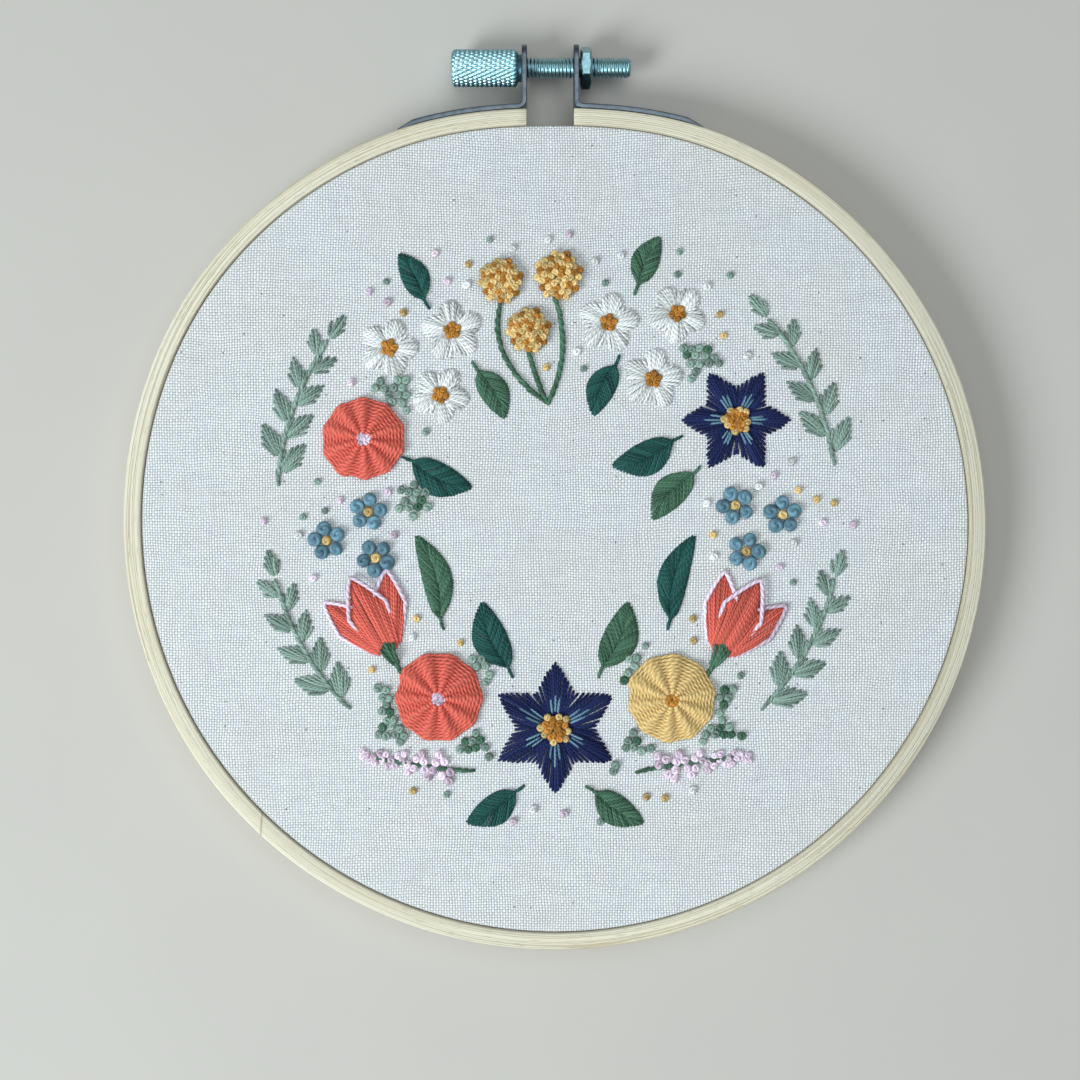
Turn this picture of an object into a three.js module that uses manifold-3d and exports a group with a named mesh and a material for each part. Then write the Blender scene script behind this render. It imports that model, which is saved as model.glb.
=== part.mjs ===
// Round cotton cloth stretched in a bamboo hoop and stitched with a wreath of small flowers.
// The hoop lies on its back: +Z leaves the cloth's face, +Y points to the clamp screw, +X to the right.
import * as THREE from "three";
import { mergeVertices } from "three/addons/utils/BufferGeometryUtils.js";
import Module from "manifold-3d";

const wasm = await Module();
wasm.setup();

// Driving dimensions in millimetres, with angles in degrees from +X
const CLEARANCE = 0.3;
const HOOP_HALF_WIDTH = 80.5;
const HOOP_HALF_HEIGHT = 79.4;
const OUTER_THICK = 3.0;
const OUTER_DEPTH = 9.5;
const INNER_THICK = 3.0;
const CLOTH_THICK = 1.0;
const RIM_ABOVE_CLOTH = 0.5;
const SKIRT_FOOT = 0.5;
const EDGE_ROUND = 0.7;
const HOOP_SEGMENTS = 84;

// The bent strip is flatter beside its gap and a little fuller at the upper left
const GAP_FLAT = { at: 90, spread: 17, by: -1.6 };
const FULL_SIDE = { at: 145, spread: 25, by: 0.9 };
const GAP_LEFT = -5.3;
const GAP_RIGHT = 3.5;

// Clamp: two bent steel strips, a thumbscrew and a hexagon nut
const STRIP_THICK = 1.0;
const STRIP_WIDTH = 7.0;
const STRIP_BEND = 0.8;
const STRIP_END_LEFT = 111.8;
const STRIP_END_RIGHT = 69.5;
const STRIP_TAPER = 0.5;
const TAB_TOP = 90.6;
const TAB_CORNER = 2.5;
const SCREW_Y = 86.5;
const SCREW_Z = OUTER_DEPTH / 2;
const SCREW_HEAD = { left: -19.6, right: -7.0, radius: 3.45, chamfer: 0.6 };
const SCREW_ROD = { right: 14.3, radius: 1.95, chamfer: 0.5 };
const NUT = { thick: 2.1, acrossFlats: 7.0 };
const HOLE_RADIUS = SCREW_ROD.radius + CLEARANCE;

// Levels and radii that follow from the sizes above
const CLOTH_TOP = OUTER_DEPTH - RIM_ABOVE_CLOTH;
const CLOTH_UNDER = CLOTH_TOP - CLOTH_THICK;
const INNER_DEPTH = CLOTH_UNDER - CLEARANCE;
const OUTER_INSIDE = HOOP_HALF_WIDTH - OUTER_THICK;
const SKIRT_OUTSIDE = OUTER_INSIDE - CLEARANCE;
const SKIRT_INSIDE = SKIRT_OUTSIDE - CLOTH_THICK;
const INNER_OUTSIDE = SKIRT_INSIDE - CLEARANCE;
const INNER_INSIDE = INNER_OUTSIDE - INNER_THICK;
const STITCH_FOOT = CLOTH_TOP + CLEARANCE;
const HOOP_CENTRE_Y = (HOOP_HALF_HEIGHT - TAB_TOP) / 2;

// Stitched relief: rim height of a motif and the blunt width at a leaf's ends
const STITCH_RIM = 0.45;
const LEAF_BLUNT = 0.25;

// Round motifs, as centre x, centre y, radius and turn
const ROUND_MOTIFS = [
  { name: "star_flower_1", kind: "star", thread: "navy", x: 0, y: -38, radius: 12.5, turn: 30 },
  { name: "star_flower_2", kind: "star", thread: "navy", x: 33.8, y: 19.5, radius: 10.5, turn: 0 },
  { name: "ribbed_wheel_1", kind: "wheel", thread: "coral", x: -21.8, y: -32.3, radius: 8.5, turn: 0 },
  { name: "ribbed_wheel_2", kind: "wheel", thread: "gold", x: 21.6, y: -32.5, radius: 8.5, turn: 12 },
  { name: "ribbed_wheel_3", kind: "wheel", thread: "coral", x: -35.6, y: 15.9, radius: 8.0, turn: 20 },
  { name: "blossom_1", kind: "blossom", thread: "white", x: 18.3, y: 27.2, radius: 5.8, turn: 10 },
  { name: "blossom_2", kind: "blossom", thread: "white", x: 22.8, y: 39.4, radius: 5.6, turn: 50 },
  { name: "blossom_3", kind: "blossom", thread: "white", x: 10.0, y: 37.7, radius: 5.8, turn: 80 },
  { name: "blossom_4", kind: "blossom", thread: "white", x: -19.2, y: 36.2, radius: 5.8, turn: 25 },
  { name: "blossom_5", kind: "blossom", thread: "white", x: -21.4, y: 24.2, radius: 5.4, turn: 60 },
  { name: "blossom_6", kind: "blossom", thread: "white", x: -31.0, y: 33.0, radius: 5.6, turn: 0 },
  { name: "knot_flower_1", kind: "knots", thread: "blue", x: 35.6, y: -5.0, radius: 3.7, turn: 0 },
  { name: "knot_flower_2", kind: "knots", thread: "blue", x: 42.4, y: 1.8, radius: 3.7, turn: 20 },
  { name: "knot_flower_3", kind: "knots", thread: "blue", x: 33.6, y: 3.6, radius: 3.7, turn: 40 },
  { name: "knot_flower_4", kind: "knots", thread: "blue", x: -34.9, y: 2.4, radius: 3.7, turn: 10 },
  { name: "knot_flower_5", kind: "knots", thread: "blue", x: -42.6, y: -3.0, radius: 3.7, turn: 30 },
  { name: "knot_flower_6", kind: "knots", thread: "blue", x: -33.5, y: -6.2, radius: 3.7, turn: 50 },
  { name: "ball_flower_1", kind: "ball", thread: "gold", x: 0.6, y: 46.4, radius: 5.0, turn: 0 },
  { name: "ball_flower_2", kind: "ball", thread: "gold", x: -5.0, y: 36.2, radius: 4.6, turn: 0 },
  { name: "ball_flower_3", kind: "ball", thread: "gold", x: -10.2, y: 45.4, radius: 4.6, turn: 0 },
];

// Single leaves, as base x, base y, heading, length, width and sideways bend
const LEAVES = [
  { name: "leaf_1", x: -8.8, y: -26.6, heading: 112, length: 13, width: 6.0, bend: 1.2 },
  { name: "leaf_2", x: 8.8, y: -26.6, heading: 68, length: 13, width: 6.0, bend: -1.2 },
  { name: "leaf_3", x: -7.6, y: -50.0, heading: 213, length: 10.5, width: 5.2, bend: 0.8 },
  { name: "leaf_4", x: 7.6, y: -50.0, heading: 327, length: 10.5, width: 5.2, bend: -0.8 },
  { name: "leaf_5", x: 21.8, y: 15.6, heading: 203, length: 12, width: 5.8, bend: 1.2 },
  { name: "leaf_6", x: 25.6, y: 9.2, heading: 228, length: 11, width: 5.4, bend: -1.0 },
  { name: "leaf_7", x: -26.6, y: 11.8, heading: 336, length: 12, width: 5.8, bend: -1.2 },
  { name: "leaf_8", x: -21.5, y: -17.5, heading: 106, length: 16, width: 5.0, bend: -1.6 },
  { name: "leaf_9", x: 21.5, y: -17.5, heading: 74, length: 16, width: 5.0, bend: 1.6 },
  { name: "leaf_10", x: 15.6, y: 45.0, heading: 66, length: 9.5, width: 4.6, bend: 0.6 },
  { name: "leaf_11", x: -24.6, y: 42.2, heading: 118, length: 9.5, width: 4.6, bend: -0.6 },
  { name: "leaf_12", x: -14.4, y: 28.6, heading: 300, length: 10, width: 4.8, bend: 0.8 },
  { name: "leaf_13", x: 11.2, y: 29.6, heading: 246, length: 10, width: 4.8, bend: -0.8 },
];

// Tulips seen from the side, as foot x, foot y and heading
const TULIPS = [
  { name: "tulip_1", x: -30.4, y: -24.6, heading: 118 },
  { name: "tulip_2", x: 30.2, y: -24.9, heading: 61 },
];
const TULIP_LENGTH = 16.5;
const TULIP_PETALS = [
  { lean: 24, start: 1.2, length: 0.9, width: 6.0 },
  { lean: -24, start: 1.2, length: 0.9, width: 6.0 },
  { lean: 0, start: 0, length: 1.0, width: 7.4 },
];

// Leafy sprigs that follow the wreath, as start and end angle and radius
const SPRIGS = [
  { name: "sprig_1", from: 222, to: 191, inner: 51.6, outer: 53.2 },
  { name: "sprig_2", from: 318, to: 349, inner: 51.6, outer: 53.2 },
  { name: "sprig_3", from: 12, to: 44, inner: 53.2, outer: 55.4 },
  { name: "sprig_4", from: 172, to: 141, inner: 52.4, outer: 54.6 },
];
const SPRIG_LEAF = { length: 8.0, width: 3.6, spread: 36, pairs: 4 };

// Heather spikes, as foot x, foot y and heading
const SPIKES = [
  { name: "heather_1", x: -16.0, y: -46.0, heading: 172 },
  { name: "heather_2", x: 16.0, y: -46.0, heading: 8 },
];
const SPIKE = { length: 21, florets: 10, widest: 1.75, tip: 1.0, offset: 1.5 };

// Stalks of the three ball flowers, meeting at one foot
const STALK_FOOT = { x: -1.5, y: 22.5 };
const STALKS = [
  { x: 0.6, y: 40.7, pass: 3.9 },
  { x: -4.6, y: 30.9, pass: -0.4 },
  { x: -10.6, y: 40.2, pass: -7.5 },
];
const STALK_WIDTH = 1.1;

// Surface colours of wood, cloth, metals and threads
const MATERIALS = {
  bamboo: { color: 0xe2d9b4, roughness: 0.45, metalness: 0 },
  cotton: { color: 0xdcdcd4, roughness: 0.95, metalness: 0 },
  steel: { color: 0x8d959c, roughness: 0.38, metalness: 1 },
  zinc: { color: 0xb9c4ca, roughness: 0.3, metalness: 1 },
  navy: { color: 0x1a2652, roughness: 0.8, metalness: 0 },
  coral: { color: 0xd2635a, roughness: 0.8, metalness: 0 },
  gold: { color: 0xd0b06a, roughness: 0.8, metalness: 0 },
  white: { color: 0xeceae4, roughness: 0.85, metalness: 0 },
  blue: { color: 0x668fa6, roughness: 0.8, metalness: 0 },
  pink: { color: 0xe6cfdf, roughness: 0.85, metalness: 0 },
  sage: { color: 0x86a294, roughness: 0.85, metalness: 0 },
  green: { color: 0x2b5a55, roughness: 0.85, metalness: 0 },
};

const palette = {};
for (const [name, look] of Object.entries(MATERIALS)) {
  palette[name] = new THREE.MeshStandardMaterial({ name, ...look });
}

const radians = THREE.MathUtils.degToRad;
const art = new THREE.Group();
art.name = "hoop_art";
art.position.y = HOOP_CENTRE_Y;

function addPiece(name, geometry, material) {
  const piece = new THREE.Mesh(geometry, palette[material]);
  piece.name = name;
  art.add(piece);
  return piece;
}

// Moves every point of a geometry through one mapping
function reshape(geometry, mapping) {
  const points = geometry.attributes.position;
  const point = new THREE.Vector3();
  for (let i = 0; i < points.count; i++) {
    point.fromBufferAttribute(points, i);
    mapping(point);
    points.setXYZ(i, point.x, point.y, point.z);
  }
  return geometry;
}

function toSolid(geometry) {
  const bare = geometry.clone();
  bare.deleteAttribute("normal");
  bare.deleteAttribute("uv");
  const merged = mergeVertices(bare, 1e-4);
  return new wasm.Manifold(
    new wasm.Mesh({
      numProp: 3,
      vertProperties: new Float32Array(merged.attributes.position.array),
      triVerts: new Uint32Array(merged.index.array),
    })
  );
}

function toGeometry(solid) {
  const mesh = solid.getMesh();
  const geometry = new THREE.BufferGeometry();
  geometry.setAttribute("position", new THREE.BufferAttribute(new Float32Array(mesh.vertProperties), 3));
  geometry.setIndex(new THREE.BufferAttribute(new Uint32Array(mesh.triVerts), 1));
  return geometry;
}

function joined(geometries) {
  return toGeometry(geometries.map(toSolid).reduce((whole, next) => whole.add(next)));
}

// Hoop outline: radius of the outer wall at an angle, over the half width
function angularBump(angle, { at, spread, by }) {
  const away = Math.atan2(Math.sin(angle - radians(at)), Math.cos(angle - radians(at)));
  return by * Math.exp(-((away / radians(spread)) ** 2));
}

function outerWall(angle) {
  const oval = 1 / Math.hypot(Math.cos(angle) / HOOP_HALF_WIDTH, Math.sin(angle) / HOOP_HALF_HEIGHT);
  return oval + angularBump(angle, GAP_FLAT) + angularBump(angle, FULL_SIDE);
}

// Carries a section of radius and height round the hoop's outline
function roundHoop(section) {
  const ring = new THREE.LatheGeometry(section.map(([radius, z]) => new THREE.Vector2(radius, z)), HOOP_SEGMENTS);
  ring.rotateX(Math.PI / 2);
  return reshape(ring, (point) => {
    const shape = outerWall(Math.atan2(point.y, point.x)) / HOOP_HALF_WIDTH;
    point.x *= shape;
    point.y *= shape;
  });
}

function ringSection(inside, outside, depth, round) {
  return [
    [inside + round, 0],
    [outside - round, 0],
    [outside, round],
    [outside, depth - round],
    [outside - round, depth],
    [inside + round, depth],
    [inside, depth - round],
    [inside, round],
    [inside + round, 0],
  ];
}

// Outer hoop: a closed ring with the clamp gap cut out of its top
const gapBlock = new THREE.BoxGeometry(GAP_RIGHT - GAP_LEFT, 30, 4 * OUTER_DEPTH);
gapBlock.translate((GAP_LEFT + GAP_RIGHT) / 2, HOOP_HALF_HEIGHT, 0);
const outerRing = roundHoop(ringSection(OUTER_INSIDE, HOOP_HALF_WIDTH, OUTER_DEPTH, EDGE_ROUND));
addPiece("outer_hoop", toGeometry(toSolid(outerRing).subtract(toSolid(gapBlock))), "bamboo");

// Inner hoop: a closed ring that carries the cloth
addPiece("inner_hoop", roundHoop(ringSection(INNER_INSIDE, INNER_OUTSIDE, INNER_DEPTH, EDGE_ROUND)), "bamboo");

// Cloth: a flat face that turns down between the hoops
const clothSection = [
  [0, CLOTH_UNDER],
  [SKIRT_INSIDE - 0.8, CLOTH_UNDER],
  [SKIRT_INSIDE, CLOTH_UNDER - 0.8],
  [SKIRT_INSIDE, SKIRT_FOOT],
  [SKIRT_OUTSIDE, SKIRT_FOOT],
  [SKIRT_OUTSIDE, CLOTH_TOP - 1.2],
  [SKIRT_OUTSIDE - 0.35, CLOTH_TOP - 0.35],
  [SKIRT_OUTSIDE - 1.2, CLOTH_TOP],
  [0, CLOTH_TOP],
];
addPiece("cloth", roundHoop(clothSection), "cotton");

// Turns a shape drawn in Y and Z, extruded along its third axis, so that it runs along X
const ALONG_X = new THREE.Matrix4().makeBasis(
  new THREE.Vector3(0, 1, 0),
  new THREE.Vector3(0, 0, 1),
  new THREE.Vector3(1, 0, 0)
);

function wallPoint(angle, offset) {
  const radius = outerWall(angle) + offset;
  return new THREE.Vector2(radius * Math.cos(angle), radius * Math.sin(angle));
}

// Clamp strip: an upright tab at the hoop's end, one bend, and a strap along the outer wall
function bracketGeometry(side, endX, lastAngle) {
  const outerBend = STRIP_BEND + STRIP_THICK;
  const bendX = endX + side * outerBend;
  const firstAngle = Math.PI / 2 - Math.asin(bendX / (HOOP_HALF_HEIGHT - 1));
  const strapStart = wallPoint(firstAngle, CLEARANCE);
  const bendY = strapStart.y + outerBend;
  const woodSide = [new THREE.Vector2(endX, TAB_TOP)];
  const freeSide = [new THREE.Vector2(endX + side * STRIP_THICK, TAB_TOP)];
  const bendSteps = 5;
  for (let i = 0; i <= bendSteps; i++) {
    const turn = (i / bendSteps) * (Math.PI / 2);
    const away = new THREE.Vector2(-side * Math.cos(turn), -Math.sin(turn));
    woodSide.push(new THREE.Vector2(bendX, bendY).addScaledVector(away, outerBend));
    freeSide.push(new THREE.Vector2(bendX, bendY).addScaledVector(away, STRIP_BEND));
  }
  const strapSteps = 9;
  for (let i = 1; i <= strapSteps; i++) {
    const angle = THREE.MathUtils.lerp(firstAngle, radians(lastAngle), i / strapSteps);
    const thick = i < strapSteps ? STRIP_THICK : STRIP_TAPER;
    woodSide.push(wallPoint(angle, CLEARANCE));
    freeSide.push(wallPoint(angle, CLEARANCE + thick));
  }
  const plan = new THREE.Shape([...woodSide, ...freeSide.reverse()]);
  const strip = new THREE.ExtrudeGeometry(plan, { depth: STRIP_WIDTH, bevelEnabled: false });
  strip.translate(0, 0, SCREW_Z - STRIP_WIDTH / 2);

  const front = new THREE.Shape();
  const low = SCREW_Z - STRIP_WIDTH / 2;
  const high = SCREW_Z + STRIP_WIDTH / 2;
  front.moveTo(0, low);
  front.lineTo(TAB_TOP - TAB_CORNER, low);
  front.absarc(TAB_TOP - TAB_CORNER, low + TAB_CORNER, TAB_CORNER, -Math.PI / 2, 0);
  front.absarc(TAB_TOP - TAB_CORNER, high - TAB_CORNER, TAB_CORNER, 0, Math.PI / 2);
  front.lineTo(0, high);
  const rounded = new THREE.ExtrudeGeometry(front, { depth: 120, bevelEnabled: false, curveSegments: 5 });
  rounded.applyMatrix4(ALONG_X);
  rounded.translate(-60, 0, 0);

  const hole = new THREE.CylinderGeometry(HOLE_RADIUS, HOLE_RADIUS, 8, 20);
  hole.rotateZ(Math.PI / 2);
  hole.translate(endX, SCREW_Y, SCREW_Z);
  return toGeometry(toSolid(strip).intersect(toSolid(rounded)).subtract(toSolid(hole)));
}
addPiece("bracket_left", bracketGeometry(-1, GAP_LEFT, STRIP_END_LEFT), "steel");
addPiece("bracket_right", bracketGeometry(1, GAP_RIGHT, STRIP_END_RIGHT), "steel");

// Thumbscrew: chamfered head, then the rod through both tabs and the nut
const screwProfile = [
  [0, SCREW_HEAD.left],
  [SCREW_HEAD.radius - SCREW_HEAD.chamfer, SCREW_HEAD.left],
  [SCREW_HEAD.radius, SCREW_HEAD.left + SCREW_HEAD.chamfer],
  [SCREW_HEAD.radius, SCREW_HEAD.right - SCREW_HEAD.chamfer],
  [SCREW_HEAD.radius - SCREW_HEAD.chamfer, SCREW_HEAD.right],
  [SCREW_ROD.radius, SCREW_HEAD.right],
  [SCREW_ROD.radius, SCREW_ROD.right - SCREW_ROD.chamfer],
  [SCREW_ROD.radius - SCREW_ROD.chamfer, SCREW_ROD.right],
  [0, SCREW_ROD.right],
];
const screw = new THREE.LatheGeometry(screwProfile.map(([radius, x]) => new THREE.Vector2(radius, x)), 28);
screw.rotateZ(-Math.PI / 2);
addPiece("thumbscrew", screw, "zinc").position.set(0, SCREW_Y, SCREW_Z);

// Nut: a hexagon with two corners in the hoop's plane and a flat facing up
const nutCorner = NUT.acrossFlats / Math.sqrt(3);
const hexagon = new THREE.Shape();
for (let i = 0; i < 6; i++) {
  const angle = (i * Math.PI) / 3;
  hexagon[i === 0 ? "moveTo" : "lineTo"](nutCorner * Math.cos(angle), nutCorner * Math.sin(angle));
}
hexagon.holes.push(new THREE.Path().absarc(0, 0, HOLE_RADIUS, 0, 2 * Math.PI));
const nut = new THREE.ExtrudeGeometry(hexagon, { depth: NUT.thick, bevelEnabled: false, curveSegments: 10 });
nut.applyMatrix4(ALONG_X);
addPiece("nut", nut, "zinc").position.set(GAP_RIGHT + STRIP_THICK + CLEARANCE, SCREW_Y, SCREW_Z);

// Round motifs: share of the radius at a place in a petal, and height at a share of the radius.
// The place runs from 0 on the petal's middle line to 1 in the notch between two petals.
const ROUND_KINDS = {
  star: {
    petals: 6,
    perPetal: 6,
    rings: 4,
    reach: (place) => 0.46 + 0.54 * (1 - place ** 1.25),
    rise: (share, place) => 0.55 * (1 - place * share) + (share < 0.3 ? 0.75 : 0.25 * (1 - share)),
  },
  wheel: {
    petals: 10,
    perPetal: 4,
    rings: 3,
    reach: (place) => 1 - 0.06 * place,
    rise: (share, place) => 1.9 * Math.sqrt(1 - 0.94 * share * share) - 0.35 * place * Math.min(1, 3 * share),
  },
  blossom: {
    petals: 5,
    perPetal: 6,
    rings: 2,
    reach: (place) => 0.6 + 0.4 * Math.sqrt(1 - place ** 2),
    rise: (share, place) => 0.4 * (1 - place * share) + (share < 0.34 ? 0.7 : 0.2 * (1 - share)),
  },
  knots: {
    petals: 5,
    perPetal: 4,
    rings: 2,
    reach: (place) => 0.66 + 0.34 * Math.sqrt(1 - place ** 2),
    rise: (share, place) => (share < 0.34 ? 0.9 : 0.8 * (1 - place) * (1.2 - share)),
  },
  ball: {
    petals: 10,
    perPetal: 2,
    rings: 4,
    reach: (place) => 1 - 0.07 * place,
    rise: (share, place) => 2.3 * Math.sqrt(1 - 0.9 * share * share) - 0.25 * place,
  },
};

function petalPlace(angle, petals) {
  const turn = (angle * petals) / (2 * Math.PI);
  return 2 * Math.abs(turn - Math.round(turn));
}

// Stitched pad: unit rings whose points move out to the petals' outline and up to the stitches' height
function stitchedPad(kind, radius) {
  const { petals, perPetal, rings, reach, rise } = ROUND_KINDS[kind];
  const profile = [new THREE.Vector2(0, 0), new THREE.Vector2(1, 0)];
  for (let ring = rings; ring >= 0; ring--) {
    profile.push(new THREE.Vector2(ring / rings, 1));
  }
  const pad = new THREE.LatheGeometry(profile, petals * perPetal);
  pad.rotateX(Math.PI / 2);
  return reshape(pad, (point) => {
    const share = Math.hypot(point.x, point.y);
    const place = share > 1e-6 ? petalPlace(Math.atan2(point.y, point.x), petals) : 0;
    const scale = radius * reach(place);
    point.x *= scale;
    point.y *= scale;
    point.z = point.z > 0.5 ? STITCH_RIM + rise(share, place) : 0;
  });
}

for (const { name, kind, thread, x, y, radius, turn } of ROUND_MOTIFS) {
  const pad = addPiece(name, stitchedPad(kind, radius), thread);
  pad.position.set(x, y, STITCH_FOOT);
  pad.rotation.z = radians(turn);
}

// Leaf blade along +X from its base: a slab drawn in to the leaf's outline, domed along its middle
function leafBlade({ length, width, bend, crown, fullest, steps, lanes }) {
  const blade = new THREE.BoxGeometry(1, 1, 1, steps, lanes, 1);
  return reshape(blade, (point) => {
    const along = point.x + 0.5;
    const across = 2 * point.y;
    const full = Math.sin(Math.PI * along ** fullest) ** 0.85;
    const half = (width / 2) * full + LEAF_BLUNT;
    const top = STITCH_RIM + crown * full * (1 - across * across);
    point.set(length * along, across * half + bend * Math.sin(Math.PI * along), point.z > 0 ? top : 0);
  });
}

for (const { name, x, y, heading, length, width, bend } of LEAVES) {
  const blade = leafBlade({ length, width, bend, crown: 0.55, fullest: 0.9, steps: 8, lanes: 2 });
  const leaf = addPiece(name, blade, "green");
  leaf.position.set(x, y, STITCH_FOOT);
  leaf.rotation.z = radians(heading);
}

// Tulip: two outer petals leaning out and one front petal over them
for (const { name, x, y, heading } of TULIPS) {
  const petals = TULIP_PETALS.map(({ lean, start, length, width }) => {
    const size = { length: TULIP_LENGTH * length, width, bend: 0, crown: lean === 0 ? 0.9 : 0.55 };
    const petal = leafBlade({ ...size, fullest: 0.72, steps: 7, lanes: 2 });
    return petal.translate(start, 0, 0).rotateZ(radians(lean));
  });
  const tulip = addPiece(name, joined(petals), "coral");
  tulip.position.set(x, y, STITCH_FOOT);
  tulip.rotation.z = radians(heading);
}

// Stem: a narrow slab bent along a plan curve
function stemAlong(curve, width, steps) {
  const stem = new THREE.BoxGeometry(1, 1, 1, steps, 1, 1);
  return reshape(stem, (point) => {
    const along = point.x + 0.5;
    const across = point.y * width;
    const high = point.z > 0;
    const at = curve.getPoint(along);
    const heading = curve.getTangent(along);
    const top = STITCH_RIM + 0.3;
    point.set(at.x - heading.y * across, at.y + heading.x * across, high ? top : 0);
  });
}

// Sprig: a stem that follows the wreath with leaves on both sides and one at its tip
for (const { name, from, to, inner, outer } of SPRIGS) {
  const stops = [0, 0.25, 0.5, 0.75, 1].map((t) => {
    const angle = radians(THREE.MathUtils.lerp(from, to, t));
    const radius = THREE.MathUtils.lerp(inner, outer, t);
    return new THREE.Vector2(radius * Math.cos(angle), radius * Math.sin(angle));
  });
  const line = new THREE.SplineCurve(stops);
  const pieces = [stemAlong(line, 0.9, 6)];
  const shape = { bend: 0, crown: 0.35, fullest: 0.85, steps: 4, lanes: 2 };
  for (let i = 0; i < SPRIG_LEAF.pairs; i++) {
    for (const side of [-1, 1]) {
      const t = (i + 0.55 + 0.22 * side) / (SPRIG_LEAF.pairs + 0.35);
      const shrink = 1 - 0.3 * t;
      const blade = leafBlade({ ...shape, length: SPRIG_LEAF.length * shrink, width: SPRIG_LEAF.width * shrink });
      const at = line.getPoint(t);
      const heading = line.getTangent(t).angle() + side * radians(SPRIG_LEAF.spread);
      pieces.push(blade.rotateZ(heading).translate(at.x, at.y, 0));
    }
  }
  const tip = leafBlade({ ...shape, length: SPRIG_LEAF.length * 0.75, width: SPRIG_LEAF.width * 0.75 });
  const end = line.getPoint(0.97);
  pieces.push(tip.rotateZ(line.getTangent(1).angle()).translate(end.x, end.y, 0));
  addPiece(name, joined(pieces), "sage").position.z = STITCH_FOOT;
}

// Heather: small knots set left and right of a short stem, smaller towards the tip
for (const { name, x, y, heading } of SPIKES) {
  const line = new THREE.LineCurve(new THREE.Vector2(0, 0), new THREE.Vector2(SPIKE.length - 1, 0));
  const pieces = [stemAlong(line, 1.0, 1)];
  for (let i = 0; i < SPIKE.florets; i++) {
    const t = i / (SPIKE.florets - 1);
    const side = i % 2 === 0 ? 1 : -1;
    const radius = THREE.MathUtils.lerp(SPIKE.widest, SPIKE.tip, t);
    const floret = new THREE.CylinderGeometry(0.62 * radius, radius, 1.0, 7);
    floret.rotateX(Math.PI / 2);
    pieces.push(floret.translate(4 + t * (SPIKE.length - 5), side * SPIKE.offset * (1 - 0.75 * t), 0.5));
  }
  const spike = addPiece(name, joined(pieces), "pink");
  spike.position.set(x, y, STITCH_FOOT);
  spike.rotation.z = radians(heading);
}

// Ball flower stalks: three bent stems joined at one foot
const stalks = STALKS.map(({ x, y, pass }) => {
  const foot = new THREE.Vector2(STALK_FOOT.x, STALK_FOOT.y);
  const middle = new THREE.Vector2((x + foot.x) / 2 + pass, (y + foot.y) / 2);
  return stemAlong(new THREE.QuadraticBezierCurve(foot, middle, new THREE.Vector2(x, y)), STALK_WIDTH, 5);
});
addPiece("ball_stalks", joined(stalks), "green").position.z = STITCH_FOOT;

export default art;
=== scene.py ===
"""Cotton cloth in a bamboo hoop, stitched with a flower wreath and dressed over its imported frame."""

import bpy
import numpy as np
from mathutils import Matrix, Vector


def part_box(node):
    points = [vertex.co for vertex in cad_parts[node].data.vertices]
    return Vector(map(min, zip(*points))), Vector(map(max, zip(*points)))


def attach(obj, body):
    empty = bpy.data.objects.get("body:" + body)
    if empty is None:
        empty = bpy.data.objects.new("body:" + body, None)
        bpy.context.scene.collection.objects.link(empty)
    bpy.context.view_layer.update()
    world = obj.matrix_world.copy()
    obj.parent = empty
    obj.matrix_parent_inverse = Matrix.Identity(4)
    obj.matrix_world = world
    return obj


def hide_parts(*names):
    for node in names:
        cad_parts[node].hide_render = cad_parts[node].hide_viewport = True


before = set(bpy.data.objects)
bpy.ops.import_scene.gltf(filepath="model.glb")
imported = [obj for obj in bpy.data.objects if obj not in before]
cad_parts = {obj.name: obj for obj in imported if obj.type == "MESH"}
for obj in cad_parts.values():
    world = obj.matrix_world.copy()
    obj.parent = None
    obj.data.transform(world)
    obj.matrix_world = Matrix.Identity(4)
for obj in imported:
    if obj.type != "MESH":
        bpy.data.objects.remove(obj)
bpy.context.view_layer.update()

bl_info = {
    "name": "Hoop Embroidery",
    "version": (1, 0, 0),
    "blender": (4, 5, 0),
    "location": "View3D > Sidebar > Hoop",
    "description": "Dresses a hooped cloth with bamboo, metal, weave and stitches",
    "category": "Object",
}

MM = 0.001
TAU = 2 * np.pi
DAYLIGHT = (0.86, 0.97, 1.0)
# Lamps: name, place in metres, width in metres, power in watts
LAMPS = (("window", (-0.66, -0.46, 0.60), 0.50, 9.6), ("ceiling", (0.10, 0.15, 1.00), 1.1, 5.0))
ROOM_LIGHT = 0.28
# Camera's place beside the hoop's centre and below its rim, in millimetres
CAMERA_X, CAMERA_Y, RIM_DROP = -2.84, -2.88, 0.4

# Sizes of the hoop and clamp in millimetres, from the hoop's own centre
HALF_WIDTH, HALF_HEIGHT = 80.5, 79.4
OUTER_THICK, INNER_THICK = 3.0, 3.0
SKIRT_OUTSIDE = 77.2
INNER_OUTSIDE = 75.9
# Swellings of the hoop's outline: angle, spread, height
GAP_FLAT = (90, 17, -1.6)
FULL_SIDE = (145, 25, 0.9)
GAP_LEFT, GAP_RIGHT = -5.3, 3.5
# Places along the outer strip, from its left end: a glue mark, and the middle of a stretch on the right side
# darkened with painted shade
GLUE_MARK, PAINTED_SHADE_STRETCH = 198.4, 379.0
# What the rings gain so that they meet the thin cloth
OUTER_GROWN, INNER_GROWN, INNER_RAISED = 0.18, 0.7, 0.75
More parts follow.
